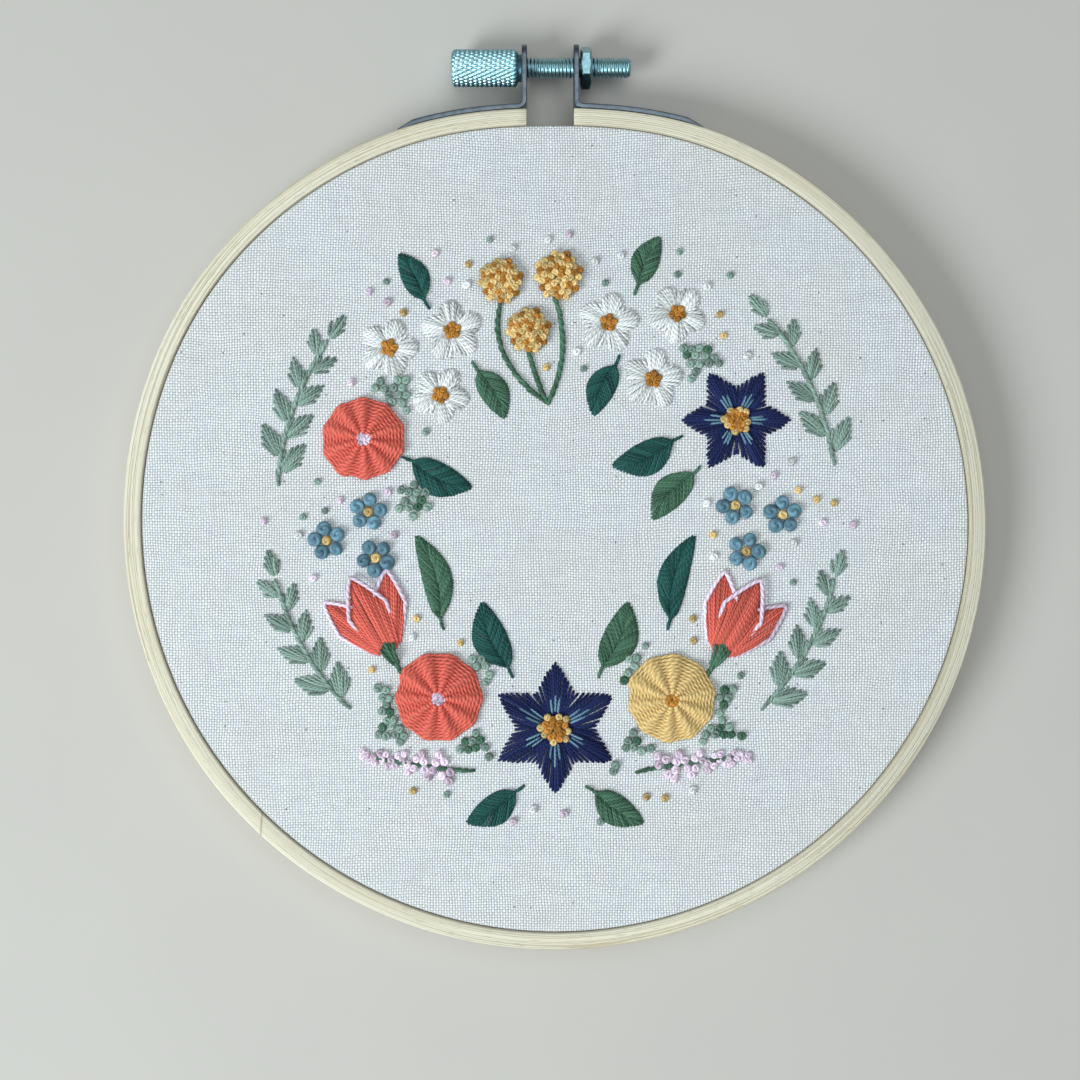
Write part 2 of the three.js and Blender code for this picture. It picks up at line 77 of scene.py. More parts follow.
# Shift that gives the inner ring other grain
INNER_GRAIN_SHIFT = 900.0
STRIP_THICK, STRIP_WIDTH, STRIP_BEND = 1.0, 7.0, 0.8
STRIP_COLUMNS = 9
STRIP_END_LEFT, STRIP_END_RIGHT = 111.8, 69.5
TAB_TOP, TAB_CORNER = 90.6, 2.5
SCREW_Y, HOLE_RADIUS = 86.5, 2.25
HEAD_LEFT, HEAD_RIGHT, HEAD_RADIUS = -19.6, -7.0, 3.45
ROD_RIGHT, ROD_RADIUS = 14.3, 1.95
COLLAR_THICK, COLLAR_RADIUS = 0.6, 2.55
KNURL_TEETH, KNURL_SLANT, KNURL_DEPTH = 26, 1.75, 0.34
THREAD_PITCH, THREAD_DEPTH = 0.7, 0.30
SCREW_COLUMNS = 156
NUT_LEFT, NUT_THICK, NUT_FLATS = 4.8, 2.1, 7.0

# Levels that the frame gives
CENTRE_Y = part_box("outer_hoop")[0].y / MM + HALF_HEIGHT
RIM_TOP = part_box("outer_hoop")[1].z / MM
CLOTH_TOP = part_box("cloth")[1].z / MM
SKIRT_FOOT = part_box("cloth")[0].z / MM
INNER_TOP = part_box("inner_hoop")[1].z / MM
SCREW_Z = RIM_TOP / 2

# Round motifs: node, thread where it differs, centre x, centre y, radius, turn
STARS = (
    ("star_flower_1", 0.0, -38.0, 12.5, 30),
    ("star_flower_2", 33.8, 19.5, 10.5, 0),
)
WHEELS = (
    ("ribbed_wheel_1", "coral", -21.8, -32.3, 8.5, 0),
    ("ribbed_wheel_2", "gold", 21.6, -32.5, 8.5, 12),
    ("ribbed_wheel_3", "coral", -35.6, 15.9, 8.0, 20),
)
BLOSSOMS = (
    ("blossom_1", 18.3, 27.2, 5.8, 10),
    ("blossom_2", 22.8, 39.4, 5.6, 50),
    ("blossom_3", 10.0, 37.7, 5.8, 80),
    ("blossom_4", -19.2, 36.2, 5.8, 25),
    ("blossom_5", -21.4, 24.2, 5.4, 60),
    ("blossom_6", -31.0, 33.0, 5.6, 0),
)
KNOT_FLOWERS = (
    ("knot_flower_1", 35.6, -5.0, 3.7, 0),
    ("knot_flower_2", 42.4, 1.8, 3.7, 20),
    ("knot_flower_3", 33.6, 3.6, 3.7, 40),
    ("knot_flower_4", -34.9, 2.4, 3.7, 10),
    ("knot_flower_5", -42.6, -3.0, 3.7, 30),
    ("knot_flower_6", -33.5, -6.2, 3.7, 50),
)
BALLS = (
    ("ball_flower_1", 0.6, 46.4, 5.0),
    ("ball_flower_2", -5.0, 36.2, 4.6),
    ("ball_flower_3", -10.2, 45.4, 4.6),
)
# Leaves: node, base x, base y, heading, length, width, bend
LEAVES = (
    ("leaf_1", -8.8, -26.6, 112, 13, 6.0, 1.2),
    ("leaf_2", 8.8, -26.6, 68, 13, 6.0, -1.2),
    ("leaf_3", -7.6, -50.0, 213, 10.5, 5.2, 0.8),
    ("leaf_4", 7.6, -50.0, 327, 10.5, 5.2, -0.8),
    ("leaf_5", 21.8, 15.6, 203, 12, 5.8, 1.2),
    ("leaf_6", 25.6, 9.2, 228, 11, 5.4, -1.0),
    ("leaf_7", -26.6, 11.8, 336, 12, 5.8, -1.2),
    ("leaf_8", -21.5, -17.5, 106, 16, 5.0, -1.6),
    ("leaf_9", 21.5, -17.5, 74, 16, 5.0, 1.6),
    ("leaf_10", 15.6, 45.0, 66, 9.5, 4.6, 0.6),
    ("leaf_11", -24.6, 42.2, 118, 9.5, 4.6, -0.6),
    ("leaf_12", -14.4, 28.6, 300, 10, 4.8, 0.8),
    ("leaf_13", 11.2, 29.6, 246, 10, 4.8, -0.8),
)
# Tulips: node, foot x, foot y, heading; petals: lean, start, length, width
TULIPS = (("tulip_1", -30.4, -24.6, 118), ("tulip_2", 30.2, -24.9, 61))
TULIP_LENGTH = 16.5
TULIP_PETALS = ((24, 1.2, 0.9, 6.0), (-24, 1.2, 0.9, 6.0), (0, 0.0, 1.0, 7.4))
# Sprigs: node, start angle, end angle, start radius, end radius
SPRIGS = (
    ("sprig_1", 222, 191, 51.6, 53.2),
    ("sprig_2", 318, 349, 51.6, 53.2),
    ("sprig_3", 12, 44, 53.2, 55.4),
    ("sprig_4", 172, 141, 52.4, 54.6),
)
SPRIG_LEAF_LENGTH, SPRIG_LEAF_WIDTH, SPRIG_SPREAD, SPRIG_PAIRS = 8.0, 3.6, 36, 4
SPIKES = (("heather_1", -16.0, -46.0, 172), ("heather_2", 16.0, -46.0, 8))
SPIKE_LENGTH = 21.0
# Patches of moss knots: centre x, centre y, radius
MOSS = (
    (13.8, -43.2, 4.6), (-13.8, -43.2, 4.6), (31.5, -36.5, 6.0), (-31.5, -36.5, 6.0),
    (13.0, -26.5, 3.0), (-13.0, -26.5, 3.0), (-28.6, 25.6, 5.4), (26.2, 28.6, 5.4), (-26.4, 4.6, 3.0),
)
SEED_COUNT, HEART_KNOTS, BALL_KNOTS = 84, 19, 46
GOLDEN_ANGLE = 2.39996
STALK_FOOT, STALK_INTO_BALL = (-1.5, 22.5), 1.9
# Stalks: tip x, tip y, sideways bow
STALKS = ((0.6, 40.7, 3.9), (-4.6, 30.9, -0.4), (-10.6, 40.2, -7.5))


def metres(name, text, default):
    """A length property with its default in metres."""
    return bpy.props.FloatProperty(name=name, description=text, default=default, unit="LENGTH", precision=5)


def colour(name, text, default):
    """A colour property with its default in linear light."""
    return bpy.props.FloatVectorProperty(
        name=name, description=text, default=default, size=3, min=0, max=1, subtype="COLOR"
    )


class HoopSizes(bpy.types.PropertyGroup):
    """Sizes of thread, weave and camera that a user would change."""

    strand: metres("Strand", "Thickness of one strand of floss", 0.0005)
    rope: metres("Rope", "Thickness of a whole floss in a stem", 0.0009)
    weave: metres("Weave", "Distance from one cloth thread to the next", 0.0005)
    cloth: metres("Cloth", "Thickness of the cotton cloth", 0.00045)
    camera_height: metres("Camera Height", "Height of the camera above the rim", 0.3)
    frame_width: metres("Frame Width", "Width of the picture at the rim's level", 0.2017)


class HoopColours(bpy.types.PropertyGroup):
    """Colours of wood, cloth, metal and floss."""

    bamboo: colour("Bamboo", "Pale side of the bamboo", (0.785, 0.715, 0.575))
    grain: colour("Grain", "Darker streaks of the bamboo", (0.55, 0.42, 0.22))
    cotton: colour("Cotton", "Undyed cotton thread", (0.725, 0.72, 0.73))
    fleck: colour("Fleck", "Seed flecks in the cotton", (0.13, 0.08, 0.045))
    zinc: colour("Zinc", "Bright zinc of screw and nut", (0.55, 0.90, 1.0))
    steel: colour("Steel", "Dull plate of the clamp strips", (0.14, 0.16, 0.185))
    navy: colour("Navy", "Navy floss", (0.009, 0.017, 0.090))
    coral: colour("Coral", "Coral floss", (0.78, 0.145, 0.105))
    gold: colour("Gold", "Pale gold floss", (0.78, 0.53, 0.22))
    mustard: colour("Mustard", "Mustard floss", (0.54, 0.22, 0.035))
    white: colour("White", "White floss", (0.86, 0.85, 0.82))
    pink: colour("Pink", "Pale pink floss", (0.86, 0.65, 0.78))
    blue: colour("Blue", "Dusty blue floss", (0.15, 0.28, 0.36))
    sage: colour("Sage", "Sage floss", (0.27, 0.37, 0.315))
    fern: colour("Fern", "Fern green floss", (0.070, 0.16, 0.10))
    green: colour("Green", "Dark green floss", (0.017, 0.092, 0.080))


# Shader maths


class Value:
    """One socket of a finish; sums and products of it add Math nodes."""

    def __init__(self, finish, socket):
        self.finish = finish
        self.socket = socket

    def math(self, operation, *others):
        return self.finish.math(operation, self, *others)

    def __add__(self, other):
        return self.math("ADD", other)

    __radd__ = __add__

    def __sub__(self, other):
        return self.math("SUBTRACT", other)

    def __rsub__(self, other):
        return self.finish.math("SUBTRACT", other, self)

    def __mul__(self, other):
        return self.math("MULTIPLY", other)

    __rmul__ = __mul__

    def __truediv__(self, other):
        return self.math("DIVIDE", other)

    def __abs__(self):
        return self.math("ABSOLUTE")

    def sin(self):
        return self.math("SINE")

    def cos(self):
        return self.math("COSINE")

    def floor(self):
        return self.math("FLOOR")

    def clamp(self):
        return self.finish.math("MAXIMUM", self.math("MINIMUM", 1.0), 0.0)

    def step(self, low, high):
        """0 below low, 1 above high, a smooth rise between."""
        node = self.finish.node(
            "ShaderNodeMapRange", {"interpolation_type": "SMOOTHSTEP"}, {0: self, 1: low, 2: high}
        )
        return Value(self.finish, node.outputs[0])


class Finish:
    """A procedural material with one Principled shader."""

    def __init__(self, name, **constants):
        self.material = bpy.data.materials.new(name)
        self.material.use_nodes = True
        self.nodes = self.material.node_tree.nodes
        self.links = self.material.node_tree.links
        self.nodes.clear()
        output = self.node("ShaderNodeOutputMaterial")
        self.shader = self.node("ShaderNodeBsdfPrincipled")
        self.links.new(self.shader.outputs[0], output.inputs[0])
        for label, value in constants.items():
            self.shader.inputs[label.replace("_", " ")].default_value = value

    def node(self, kind, settings=None, inputs=None):
        """Adds one node, sets its settings first and then the values or links of its sockets."""
        node = self.nodes.new(kind)
        for key, value in (settings or {}).items():
            setattr(node, key, value)
        for key, value in (inputs or {}).items():
            if isinstance(value, Value):
                self.links.new(value.socket, node.inputs[key])
            elif hasattr(value, "is_output"):
                self.links.new(value, node.inputs[key])
            else:
                node.inputs[key].default_value = value
        return node

    def math(self, operation, *values):
        node = self.node("ShaderNodeMath", {"operation": operation}, dict(enumerate(values)))
        return Value(self, node.outputs[0])

    def mix(self, factor, first, second):
        """Colour that goes from first to second as factor goes from 0 to 1."""
        first = (*first, 1.0) if isinstance(first, tuple) else first
        second = (*second, 1.0) if isinstance(second, tuple) else second
        node = self.node("ShaderNodeMix", {"data_type": "RGBA"}, {0: factor, 6: first, 7: second})
        return node.outputs[2]

    def shade(self, tint, factor):
        """Colour multiplied by a value."""
        node = self.node("ShaderNodeVectorMath", {"operation": "SCALE"}, {0: tint, 3: factor})
        return node.outputs[0]

    def vector(self, x, y, z):
        return self.node("ShaderNodeCombineXYZ", None, {0: x, 1: y, 2: z}).outputs[0]

    def noise(self, vector, scale, detail=2.0, roughness=0.5):
        node = self.node(
            "ShaderNodeTexNoise", None,
            {"Vector": vector, "Scale": scale, "Detail": detail, "Roughness": roughness},
        )
        return Value(self, node.outputs[0])

    def parts(self, socket):
        node = self.node("ShaderNodeSeparateXYZ", None, {0: socket})
        return [Value(self, node.outputs[i]) for i in range(3)]

    def uv(self):
        """The piece's own UV map, in millimetres for wood and cloth."""
        return self.parts(self.node("ShaderNodeUVMap", {"uv_map": "UVMap"}).outputs[0])[:2]

    def place(self):
        return self.node("ShaderNodeTexCoord").outputs["Object"]

    def tone(self):
        """The shade number that each stitch carries."""
        return Value(self, self.node("ShaderNodeAttribute", {"attribute_name": "tone"}).outputs["Fac"])

    def bump(self, height, distance):
        node = self.node("ShaderNodeBump", None, {"Height": height, "Distance": distance})
        self.links.new(node.outputs[0], self.shader.inputs["Normal"])

    def feed(self, label, value):
        socket = value.socket if isinstance(value, Value) else value
        self.links.new(socket, self.shader.inputs[label])


def tint(context, name):
    """Colour property as a plain tuple."""
    return tuple(getattr(context.scene.hoop_colours, name))


def bamboo_finish(context):
    """Cream bamboo: long streaks that follow the strip, short dark fibres, a satin coat, and painted shade
    over a stretch of the strip's right side.
    """
    f = Finish("bamboo", Coat_Roughness=0.3, IOR=1.48)
    along, round_ = f.uv()
    streak = f.noise(f.vector(along * 0.016, round_ * 1.5, 0.0), 1.0, 4.0, 0.6)
    fine = f.noise(f.vector(along * 0.045, round_ * 6.5, 3.0), 1.0, 3.0, 0.6)
    patch = f.noise(f.vector(along * 0.03, round_ * 0.25, 7.0), 1.0, 2.0, 0.5)
    fibre = f.noise(f.vector(along * 0.30, round_ * 11.0, 11.0), 1.0, 2.0, 0.5).step(0.64, 0.72)
    line = f.noise(f.vector(along * 0.006, round_ * 2.6, 19.0), 1.0, 1.0, 0.4)
    seam = abs(line - 0.5).step(0.030, 0.004)
    grain = (streak.step(0.38, 0.70) * 0.6 + fine.step(0.40, 0.72) * 0.5).clamp()
    wood = f.mix(grain * (0.22 + patch * 0.62), tint(context, "bamboo"), tint(context, "grain"))
    wood = f.mix(seam * 0.55, wood, (0.40, 0.28, 0.13))
    wood = f.mix(fibre * 0.5, wood, (0.28, 0.18, 0.08))
    glue = abs(along - GLUE_MARK + round_ * 0.9).step(0.40, 0.05)
    wood = f.mix(glue * 0.6, wood, (0.30, 0.19, 0.08))
    # Painted shade: the wood is made darker over a stretch of the right side, where less light falls
    painted_shade = abs(along - PAINTED_SHADE_STRETCH).step(110.0, 30.0)
    f.feed("Base Color", f.shade(wood, 1.0 - painted_shade * 0.15))
    f.feed("Roughness", 0.38 + fine * 0.24)
    f.feed("Coat Weight", 0.08 + patch * 0.25)
    f.bump(fine * 0.6 + streak * 0.4 - fibre * 0.4 - seam * 0.6, 0.00008)
    return f.material


def cotton_finish(context):
    """Plain weave: two thread sets go over and under in turn, with pinholes at their corners and flecks;
    painted shade darkens the pinholes, and painted light brightens the thread tops and the cells where the
    first set lies on top.
    """
    f = Finish("cotton", Sheen_Weight=0.12, Sheen_Roughness=0.5, IOR=1.4, Specular_IOR_Level=0.2)
    pitch = context.scene.hoop_sizes.weave / MM
    along, across = f.uv()
    place = f.vector(along, across, 0.0)
    sway_u = f.noise(place, 0.10, 2.0) - 0.5
    sway_v = f.noise(f.vector(across, along, 5.0), 0.10, 2.0) - 0.5
    u = along / pitch + sway_u * 2.6
    v = across / pitch + sway_v * 2.6
    warp, weft = u.floor(), v.floor()
    cu = ((u - warp - 0.5) * np.pi).cos()
    cv = ((v - weft - 0.5) * np.pi).cos()
    thick_u = f.noise(f.vector(warp * 7.31, v * 0.07, 0.0), 1.0, 3.0, 0.6)
    thick_v = f.noise(f.vector(u * 0.07, weft * 5.17, 9.0), 1.0, 3.0, 0.6)
    loose = f.noise(f.vector(warp * 3.7, weft * 4.9, 2.0), 1.0, 1.0, 0.5)
    over = (warp + weft).math("FLOORED_MODULO", 2.0)
    first = cu * (0.35 + 0.65 * cv) * (0.70 + thick_u * 0.6)
    second = cv * (0.35 + 0.65 * cu) * (0.70 + thick_v * 0.6)
    height = first * over + second * (1.0 - over)
    # Painted shade: the gaps where four threads meet are darkened
    pinhole_shade = ((1.0 - cu) * (1.0 - cv)).step(0.13, 0.60) * (0.20 + loose.step(0.30, 0.70) * 0.80)
    body = (thick_u * over + thick_v * (1.0 - over)).step(0.25, 0.75)
    # Painted light and shade: thread tops are lightened, and cells where the first set lies on top are
    # lighter than the others, as the light falls on them
    shade = (0.74 + height.step(0.0, 0.7) * 0.16 + body * 0.14 + over * 0.17) * (1.0 - pinhole_shade * 0.92)
    cream = f.noise(place, 0.045, 3.0, 0.6).step(0.42, 0.72)
    yarn = f.mix(body, tint(context, "cotton"), (0.785, 0.78, 0.795))
    yarn = f.shade(f.mix(cream * 0.5, yarn, (0.76, 0.72, 0.68)), shade)
    spots = f.node("ShaderNodeTexVoronoi", {"voronoi_dimensions": "2D"}, {"Vector": place, "Scale": 0.26})
    near = Value(f, spots.outputs["Distance"])
    pick, kind, _ = f.parts(spots.outputs["Color"])
    fleck = (near + kind * 0.03).step(0.070, 0.03) * pick.step(0.76, 0.80)
    brown = f.mix(kind.step(0.4, 0.7), tint(context, "fleck"), (0.40, 0.29, 0.19))
    f.feed("Base Color", f.mix(fleck * 0.8, yarn, brown))
    f.feed("Roughness", 0.92 - body * 0.12)
    f.bump(height + body * 0.2, 0.00014)
    return f.material


def metal_finish(context, name, tint_name, rough, painted_dimming=1.0):
    """Plated metal: cloudy gloss and faint rubbing marks over the plate, and a painted shade that can darken
    the whole colour.
    """
    f = Finish(name + "_plate", Metallic=1.0)
    place = f.place()
    cloud = f.noise(place, 900.0, 4.0, 0.6)
    spot = f.noise(place, 4200.0, 2.0, 0.5)
    # Painted shade: the whole plate colour is scaled down by this factor
    bright = tuple(painted_dimming * c for c in tint(context, tint_name))
    dull = f.mix(cloud.step(0.35, 0.75), bright, tuple(0.7 * c for c in bright))
    f.feed("Base Color", dull)
    f.feed("Roughness", rough + cloud * 0.18 - spot * 0.06)
    f.bump(spot * 0.5 + cloud * 0.5, 0.00002)
    return f.material


def floss_finish(context, name):
    """Twisted cotton floss: slanting plies along each strand with painted shade in the grooves between them,
    a shade for each stitch, soft sheen.
    """
    f = Finish(name + "_floss", Sheen_Weight=0.05, Sheen_Roughness=0.4, IOR=1.4, Specular_IOR_Level=0.22)
    along, round_ = f.uv()
    tone = f.tone()
    ply = ((round_ * 2.0 + along * 0.6) * TAU).sin() * 0.5 + 0.5
    fuzz = f.noise(f.vector(along * 0.9, round_ * 5.0, tone * 40.0), 1.0, 3.0, 0.6)
    base = tint(context, name)
    dark = tuple(0.66 * c for c in base)
    light = tuple(min(1.0, 1.22 * c + 0.006) for c in base)
    strand = f.mix(tone, dark, light)
    # Painted shade: the colour darkens in the grooves between the plies
    f.feed("Base Color", f.shade(strand, 0.58 + ply * 0.40 + fuzz * 0.28))
    f.feed("Roughness", 0.50 + fuzz * 0.25)
    f.bump(ply + fuzz * 0.6, 0.00009)
    return f.material


# Mesh building


class Shell:
    """Points in millimetres, four-sided faces, their UVs, a tone for each point, a finish for each face."""

    def __init__(self):
        self.points, self.quads, self.uvs, self.tones, self.kinds = [], [], [], [], []
        self.count = 0

    def add(self, points, quads, uvs, tone=0.5, kind=0):
        points = points.reshape(-1, 3)
        self.points.append(points)
        self.quads.append(quads.reshape(-1, 4) + self.count)
        self.uvs.append(uvs.reshape(-1, 4, 2))
        self.tones.append(np.broadcast_to(np.asarray(tone, float), (len(points),)))
        self.kinds.append(np.full(len(self.quads[-1]), kind))
        self.count += len(points)
        return self

    def build(self, name, finishes):
        """Puts the whole shell into one mesh object at the origin, in metres."""
        points = (np.concatenate(self.points) + (0.0, CENTRE_Y, 0.0)) * MM
        quads = np.concatenate(self.quads).astype(np.int32)
        mesh = bpy.data.meshes.new(name)
        mesh.vertices.add(len(points))
        mesh.vertices.foreach_set("co", points.astype(np.float32).ravel())
        mesh.loops.add(quads.size)
        mesh.loops.foreach_set("vertex_index", quads.ravel())
        mesh.polygons.add(len(quads))
        mesh.polygons.foreach_set("loop_start", np.arange(0, quads.size, 4, dtype=np.int32))
        mesh.polygons.foreach_set("material_index", np.concatenate(self.kinds).astype(np.int32))
        mesh.polygons.foreach_set("use_smooth", np.full(len(quads), True))
        layer = mesh.uv_layers.new(name="UVMap")
        layer.data.foreach_set("uv", np.concatenate(self.uvs).astype(np.float32).ravel())
        tones = mesh.attributes.new("tone", "FLOAT", "POINT")
        tones.data.foreach_set("value", np.concatenate(self.tones).astype(np.float32))
        mesh.update(calc_edges=True)
        if mesh.validate():
            raise RuntimeError(name + " has faulty faces")
        for material in finishes:
            mesh.materials.append(material)
        piece = bpy.data.objects.new(name, mesh)
        bpy.context.scene.collection.objects.link(piece)
        return piece


def grid_faces(rows, columns, close_rows=False, close_columns=False):
    """Faces of a grid, each as four point numbers, with row and column numbers that run on past a seam."""
    row, column = np.meshgrid(
        np.arange(rows if close_rows else rows - 1),
        np.arange(columns if close_columns else columns - 1),
        indexing="ij",
    )
    corner_row = np.stack([row, row + 1, row + 1, row], -1)
    corner_column = np.stack([column, column, column + 1, column + 1], -1)
    quads = (corner_row % rows) * columns + corner_column % columns
    return quads.reshape(-1, 4), corner_row.reshape(-1, 4), corner_column.reshape(-1, 4)


def disc_faces(ring):
    """Four-sided faces that close one ring of an even number of points."""
    first = np.arange(1, len(ring) - 2, 2)
    return np.stack([np.full_like(first, ring[0]), ring[first], ring[first + 1], ring[first + 2]], -1)


def add_grid(shell, points, u, v, close_rows=False, close_columns=False, flip=False, caps=False, kind=0):
    """Adds a grid surface; u and v are lengths at each row and column and run one step past a closed seam."""
    rows, columns = points.shape[:2]
    quads, row, column = grid_faces(rows, columns, close_rows, close_columns)
    uvs = pairs(u[row], v[column])
    if flip:
        quads, uvs = quads[:, ::-1], uvs[:, ::-1]
    if caps:
        numbers = np.arange(rows * columns).reshape(rows, columns)
        ends = [disc_faces(numbers[0]), disc_faces(numbers[-1][::-1])]
        if flip:
            ends = [end[:, ::-1] for end in ends]
        quads = np.concatenate([quads, *ends])
        extra = len(ends[0]) + len(ends[1])
        uvs = np.concatenate([uvs, np.zeros((extra, 4, 2))])
    return shell.add(points, quads, uvs, kind=kind)


def add_threads(shell, paths, radius, kind=0, sides=6, tone=None, rng=None, flat=0.86):
    """Tubes along many paths at once: at each path point a ring of sides stands across the path.

    The ring's first axis lies level across the path and its second stands on both, a little flattened.
    """
    count, steps = paths.shape[:2]
    ahead = np.gradient(paths, axis=1)
    ahead /= np.linalg.norm(ahead, axis=2, keepdims=True) + 1e-9
    level = np.stack([-ahead[..., 1], ahead[..., 0], np.zeros((count, steps))], -1)
    level /= np.linalg.norm(level, axis=2, keepdims=True) + 1e-9
    rise = np.cross(ahead, level)
    turn = TAU * np.arange(sides) / sides
    wide = np.broadcast_to(np.asarray(radius, float), (count, steps))
    if rng is not None:
        wide = wide * (0.9 + 0.22 * rng.random((count, 1)))
    size = wide[..., None, None]
    ring = level[:, :, None] * np.cos(turn)[:, None] + flat * rise[:, :, None] * np.sin(turn)[:, None]
    points = paths[:, :, None] + size * ring
    quads, row, column = grid_faces(steps, sides, close_columns=True)
    quads = quads[:, ::-1]
    numbers = np.arange(steps * sides).reshape(steps, sides)
    ends = np.concatenate([disc_faces(numbers[0][::-1]), disc_faces(numbers[-1])])
    length = np.concatenate(
        [np.zeros((count, 1)), np.cumsum(np.linalg.norm(np.diff(paths, axis=1), axis=2), 1)], 1
    )
    length = length / (2 * wide.mean(1, keepdims=True))
    side_uv = np.stack(
        [length[:, row[:, ::-1]], np.broadcast_to(column[:, ::-1] / sides, (count, *column.shape))], -1
    )
    end_uv = np.zeros((count, len(ends), 4, 2))
    faces = np.concatenate([quads, ends])[None] + (np.arange(count) * steps * sides)[:, None, None]
    if tone is None:
        tone = rng.random(count)
    tones = np.repeat(np.broadcast_to(np.asarray(tone, float), (count,)), steps * sides)
    return shell.add(points, faces, np.concatenate([side_uv, end_uv], 1), tones, kind)


def pairs(first, second):
    """Two arrays side by side, as the columns of plan points."""
    return np.stack([first, second], -1)


def around(x, y, reach, angle):
    """X and y of places at a reach and an angle from a centre."""
    return x + reach * np.cos(angle), y + reach * np.sin(angle)


def bowed(start, middle, end, t):
    """Places along a curve from start to end that is drawn toward middle."""
    return (1 - t) ** 2 * start + 2 * t * (1 - t) * middle + t ** 2 * end


def turned(paths, x, y, heading):
    """Paths drawn at the origin along +X, turned by heading and moved to x, y."""
    c, s = np.cos(np.radians(heading)), np.sin(np.radians(heading))
    along, across = paths[..., 0], paths[..., 1]
    flat = pairs(along * c - across * s + x, along * s + across * c + y)
    return np.concatenate([flat, paths[..., 2:]], -1)


STITCH_STEPS = np.array([0.0, 0.05, 0.2, 0.5, 0.8, 0.95, 1.0])


def stitches(start, end, lift, rng, sit=0.2, loose=0.08):
    """Straight stitches from start to end, out of the cloth and back, with a low arch of height lift."""
    count = len(start)
    t = STITCH_STEPS
    line = start[:, None] + (end - start)[:, None] * t[:, None]
    wander = rng.normal(0, loose, (count, 1, 2)) * np.sin(np.pi * t)[:, None]
    plateau = np.array([-1.6, 0.25, 1.0, 1.0, 1.0, 0.25, -1.6])
    height = CLOTH_TOP + sit * plateau + np.reshape(lift, (-1, 1)) * np.sin(np.pi * t) ** 0.7
    height = height + rng.normal(0, 0.06, (count, 1)) * np.sin(np.pi * t)
    return np.concatenate([line + wander, height[..., None]], -1)


KNOT_SPAN = np.array([0.0, 0.5, 0.86, 1.0])
KNOT_REACH = np.array([0.28, 0.29, 0.20, 0.02])
KNOT_RISE = np.array([0.16, 0.22, 0.37, 0.24])
KNOT_THREAD = 0.21


def french_knots(x, y, size, rng, base, steps):
    """Knots: a thread wrapped half as far again as one ring, drawn in over itself to dive at the middle."""
    x, y = np.atleast_1d(x), np.atleast_1d(y)
    count = len(x)
    size = np.broadcast_to(np.asarray(size, float), (count,))[:, None]
    size = size * (0.92 + 0.16 * rng.random((count, 1)))
    t = np.linspace(0, 1, steps)
    turn = rng.random((count, 1)) * TAU + TAU * 1.5 * t
    reach = size * np.interp(t, KNOT_SPAN, KNOT_REACH)
    height = CLOTH_TOP + np.reshape(base, (-1, 1)) + size * np.interp(t, KNOT_SPAN, KNOT_RISE)
    return np.stack([x[:, None] + reach * np.cos(turn), y[:, None] + reach * np.sin(turn), height], -1)


def add_knots(shell, x, y, size, rng, kind, base=0.0, steps=12, sides=6):
    """Adds knots with thread in keeping with their size."""
    path = french_knots(x, y, size, rng, base, steps)
    thread = np.broadcast_to(np.asarray(size, float), (len(path),)) * KNOT_THREAD
    return add_threads(shell, path, thread[:, None], kind, sides, rng=rng, flat=0.95)


def fan(length, width, root, tip, strand, rng, root_share=0.42, jitter=0.35):
    """Starts and ends of a petal's strands: ends lie on tip's outline, starts are drawn in at the root."""
    count = max(4, int(round(width / strand)))
    across = np.linspace(-1, 1, count)
    end_x = root + (length - root) * tip(across) - rng.random(count) * jitter
    start_x = root + rng.random(count) * jitter * 2
    half = width / 2
    start = pairs(start_x, across * half * root_share)
    end = pairs(end_x, across * half)
    return start, end, across


def blade_side(along, length, width, bend, side, blunt=0.25, fullest=0.9):
    """Point on a leaf's edge or middle line: side is 1, 0 or -1."""
    full = np.sin(np.pi * np.clip(along, 0, 1) ** fullest) ** 0.85
    across = side * (0.5 * width * full + blunt) + bend * np.sin(np.pi * along)
    return pairs(length * along, across)


def rope_path(points, lift):
    """A floss laid on the cloth along plan points, with both ends drawn under."""
    height = np.full(len(points), CLOTH_TOP + lift)
    height[[0, -1]] = CLOTH_TOP - 0.35
    return np.concatenate([points, height[:, None]], -1)[None]


def stem_stitches(points, rng, half=0.22):
    """Stem stitch: short overlapping stitches that climb along a plan line, each set a little to its side."""
    start, end = points[:-2], points[2:]
    ahead = end - start
    ahead = ahead / np.linalg.norm(ahead, axis=1, keepdims=True)
    side = pairs(-ahead[:, 1], ahead[:, 0]) * half
    return stitches(start - side, end + side, 0.16, rng, sit=0.26, loose=0.02)


def set_piece(piece, slot, *nodes, body="hoop"):
    """Rides the piece on its body and lets it stand for its CAD nodes. The slot is not used."""
    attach(piece, body)
    if nodes:
        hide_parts(*nodes)
    return piece


def floss(context, *names):
    """Floss materials by name, made once."""
    found = []
    for name in names:
        found.append(bpy.data.materials.get(name + "_floss") or floss_finish(context, name))
    return found


def stitch_piece(context, shell, node, *names):
    """Builds one motif in its floss colours, in place of its CAD node."""
    piece = shell.build("stitched_" + node, floss(context, *names))
    set_piece(piece, names[0] + "_thread", node)


def soften(piece, width):
    """Rounds a metal piece's sharp edges with a small bevel."""
    soft = piece.modifiers.new("edges", "BEVEL")
    soft.width = width * MM
    soft.segments = 2
    soft.limit_method = "ANGLE"


def thicken(piece, thick, offset):
    """Gives a sheet its thickness: under its faces at offset -1, to both sides at 0."""
    wall = piece.modifiers.new("thickness", "SOLIDIFY")
    wall.thickness = thick * MM
    wall.offset = offset
    return wall


# Hoop, cloth and clamp shapes


def bump_at(angle, place):
    """Bell-shaped swelling of the outline at an angle, over a spread, by a height."""
    at, spread, by = place
    away = np.angle(np.exp(1j * (angle - np.radians(at))))
    return by * np.exp(-((away / np.radians(spread)) ** 2))


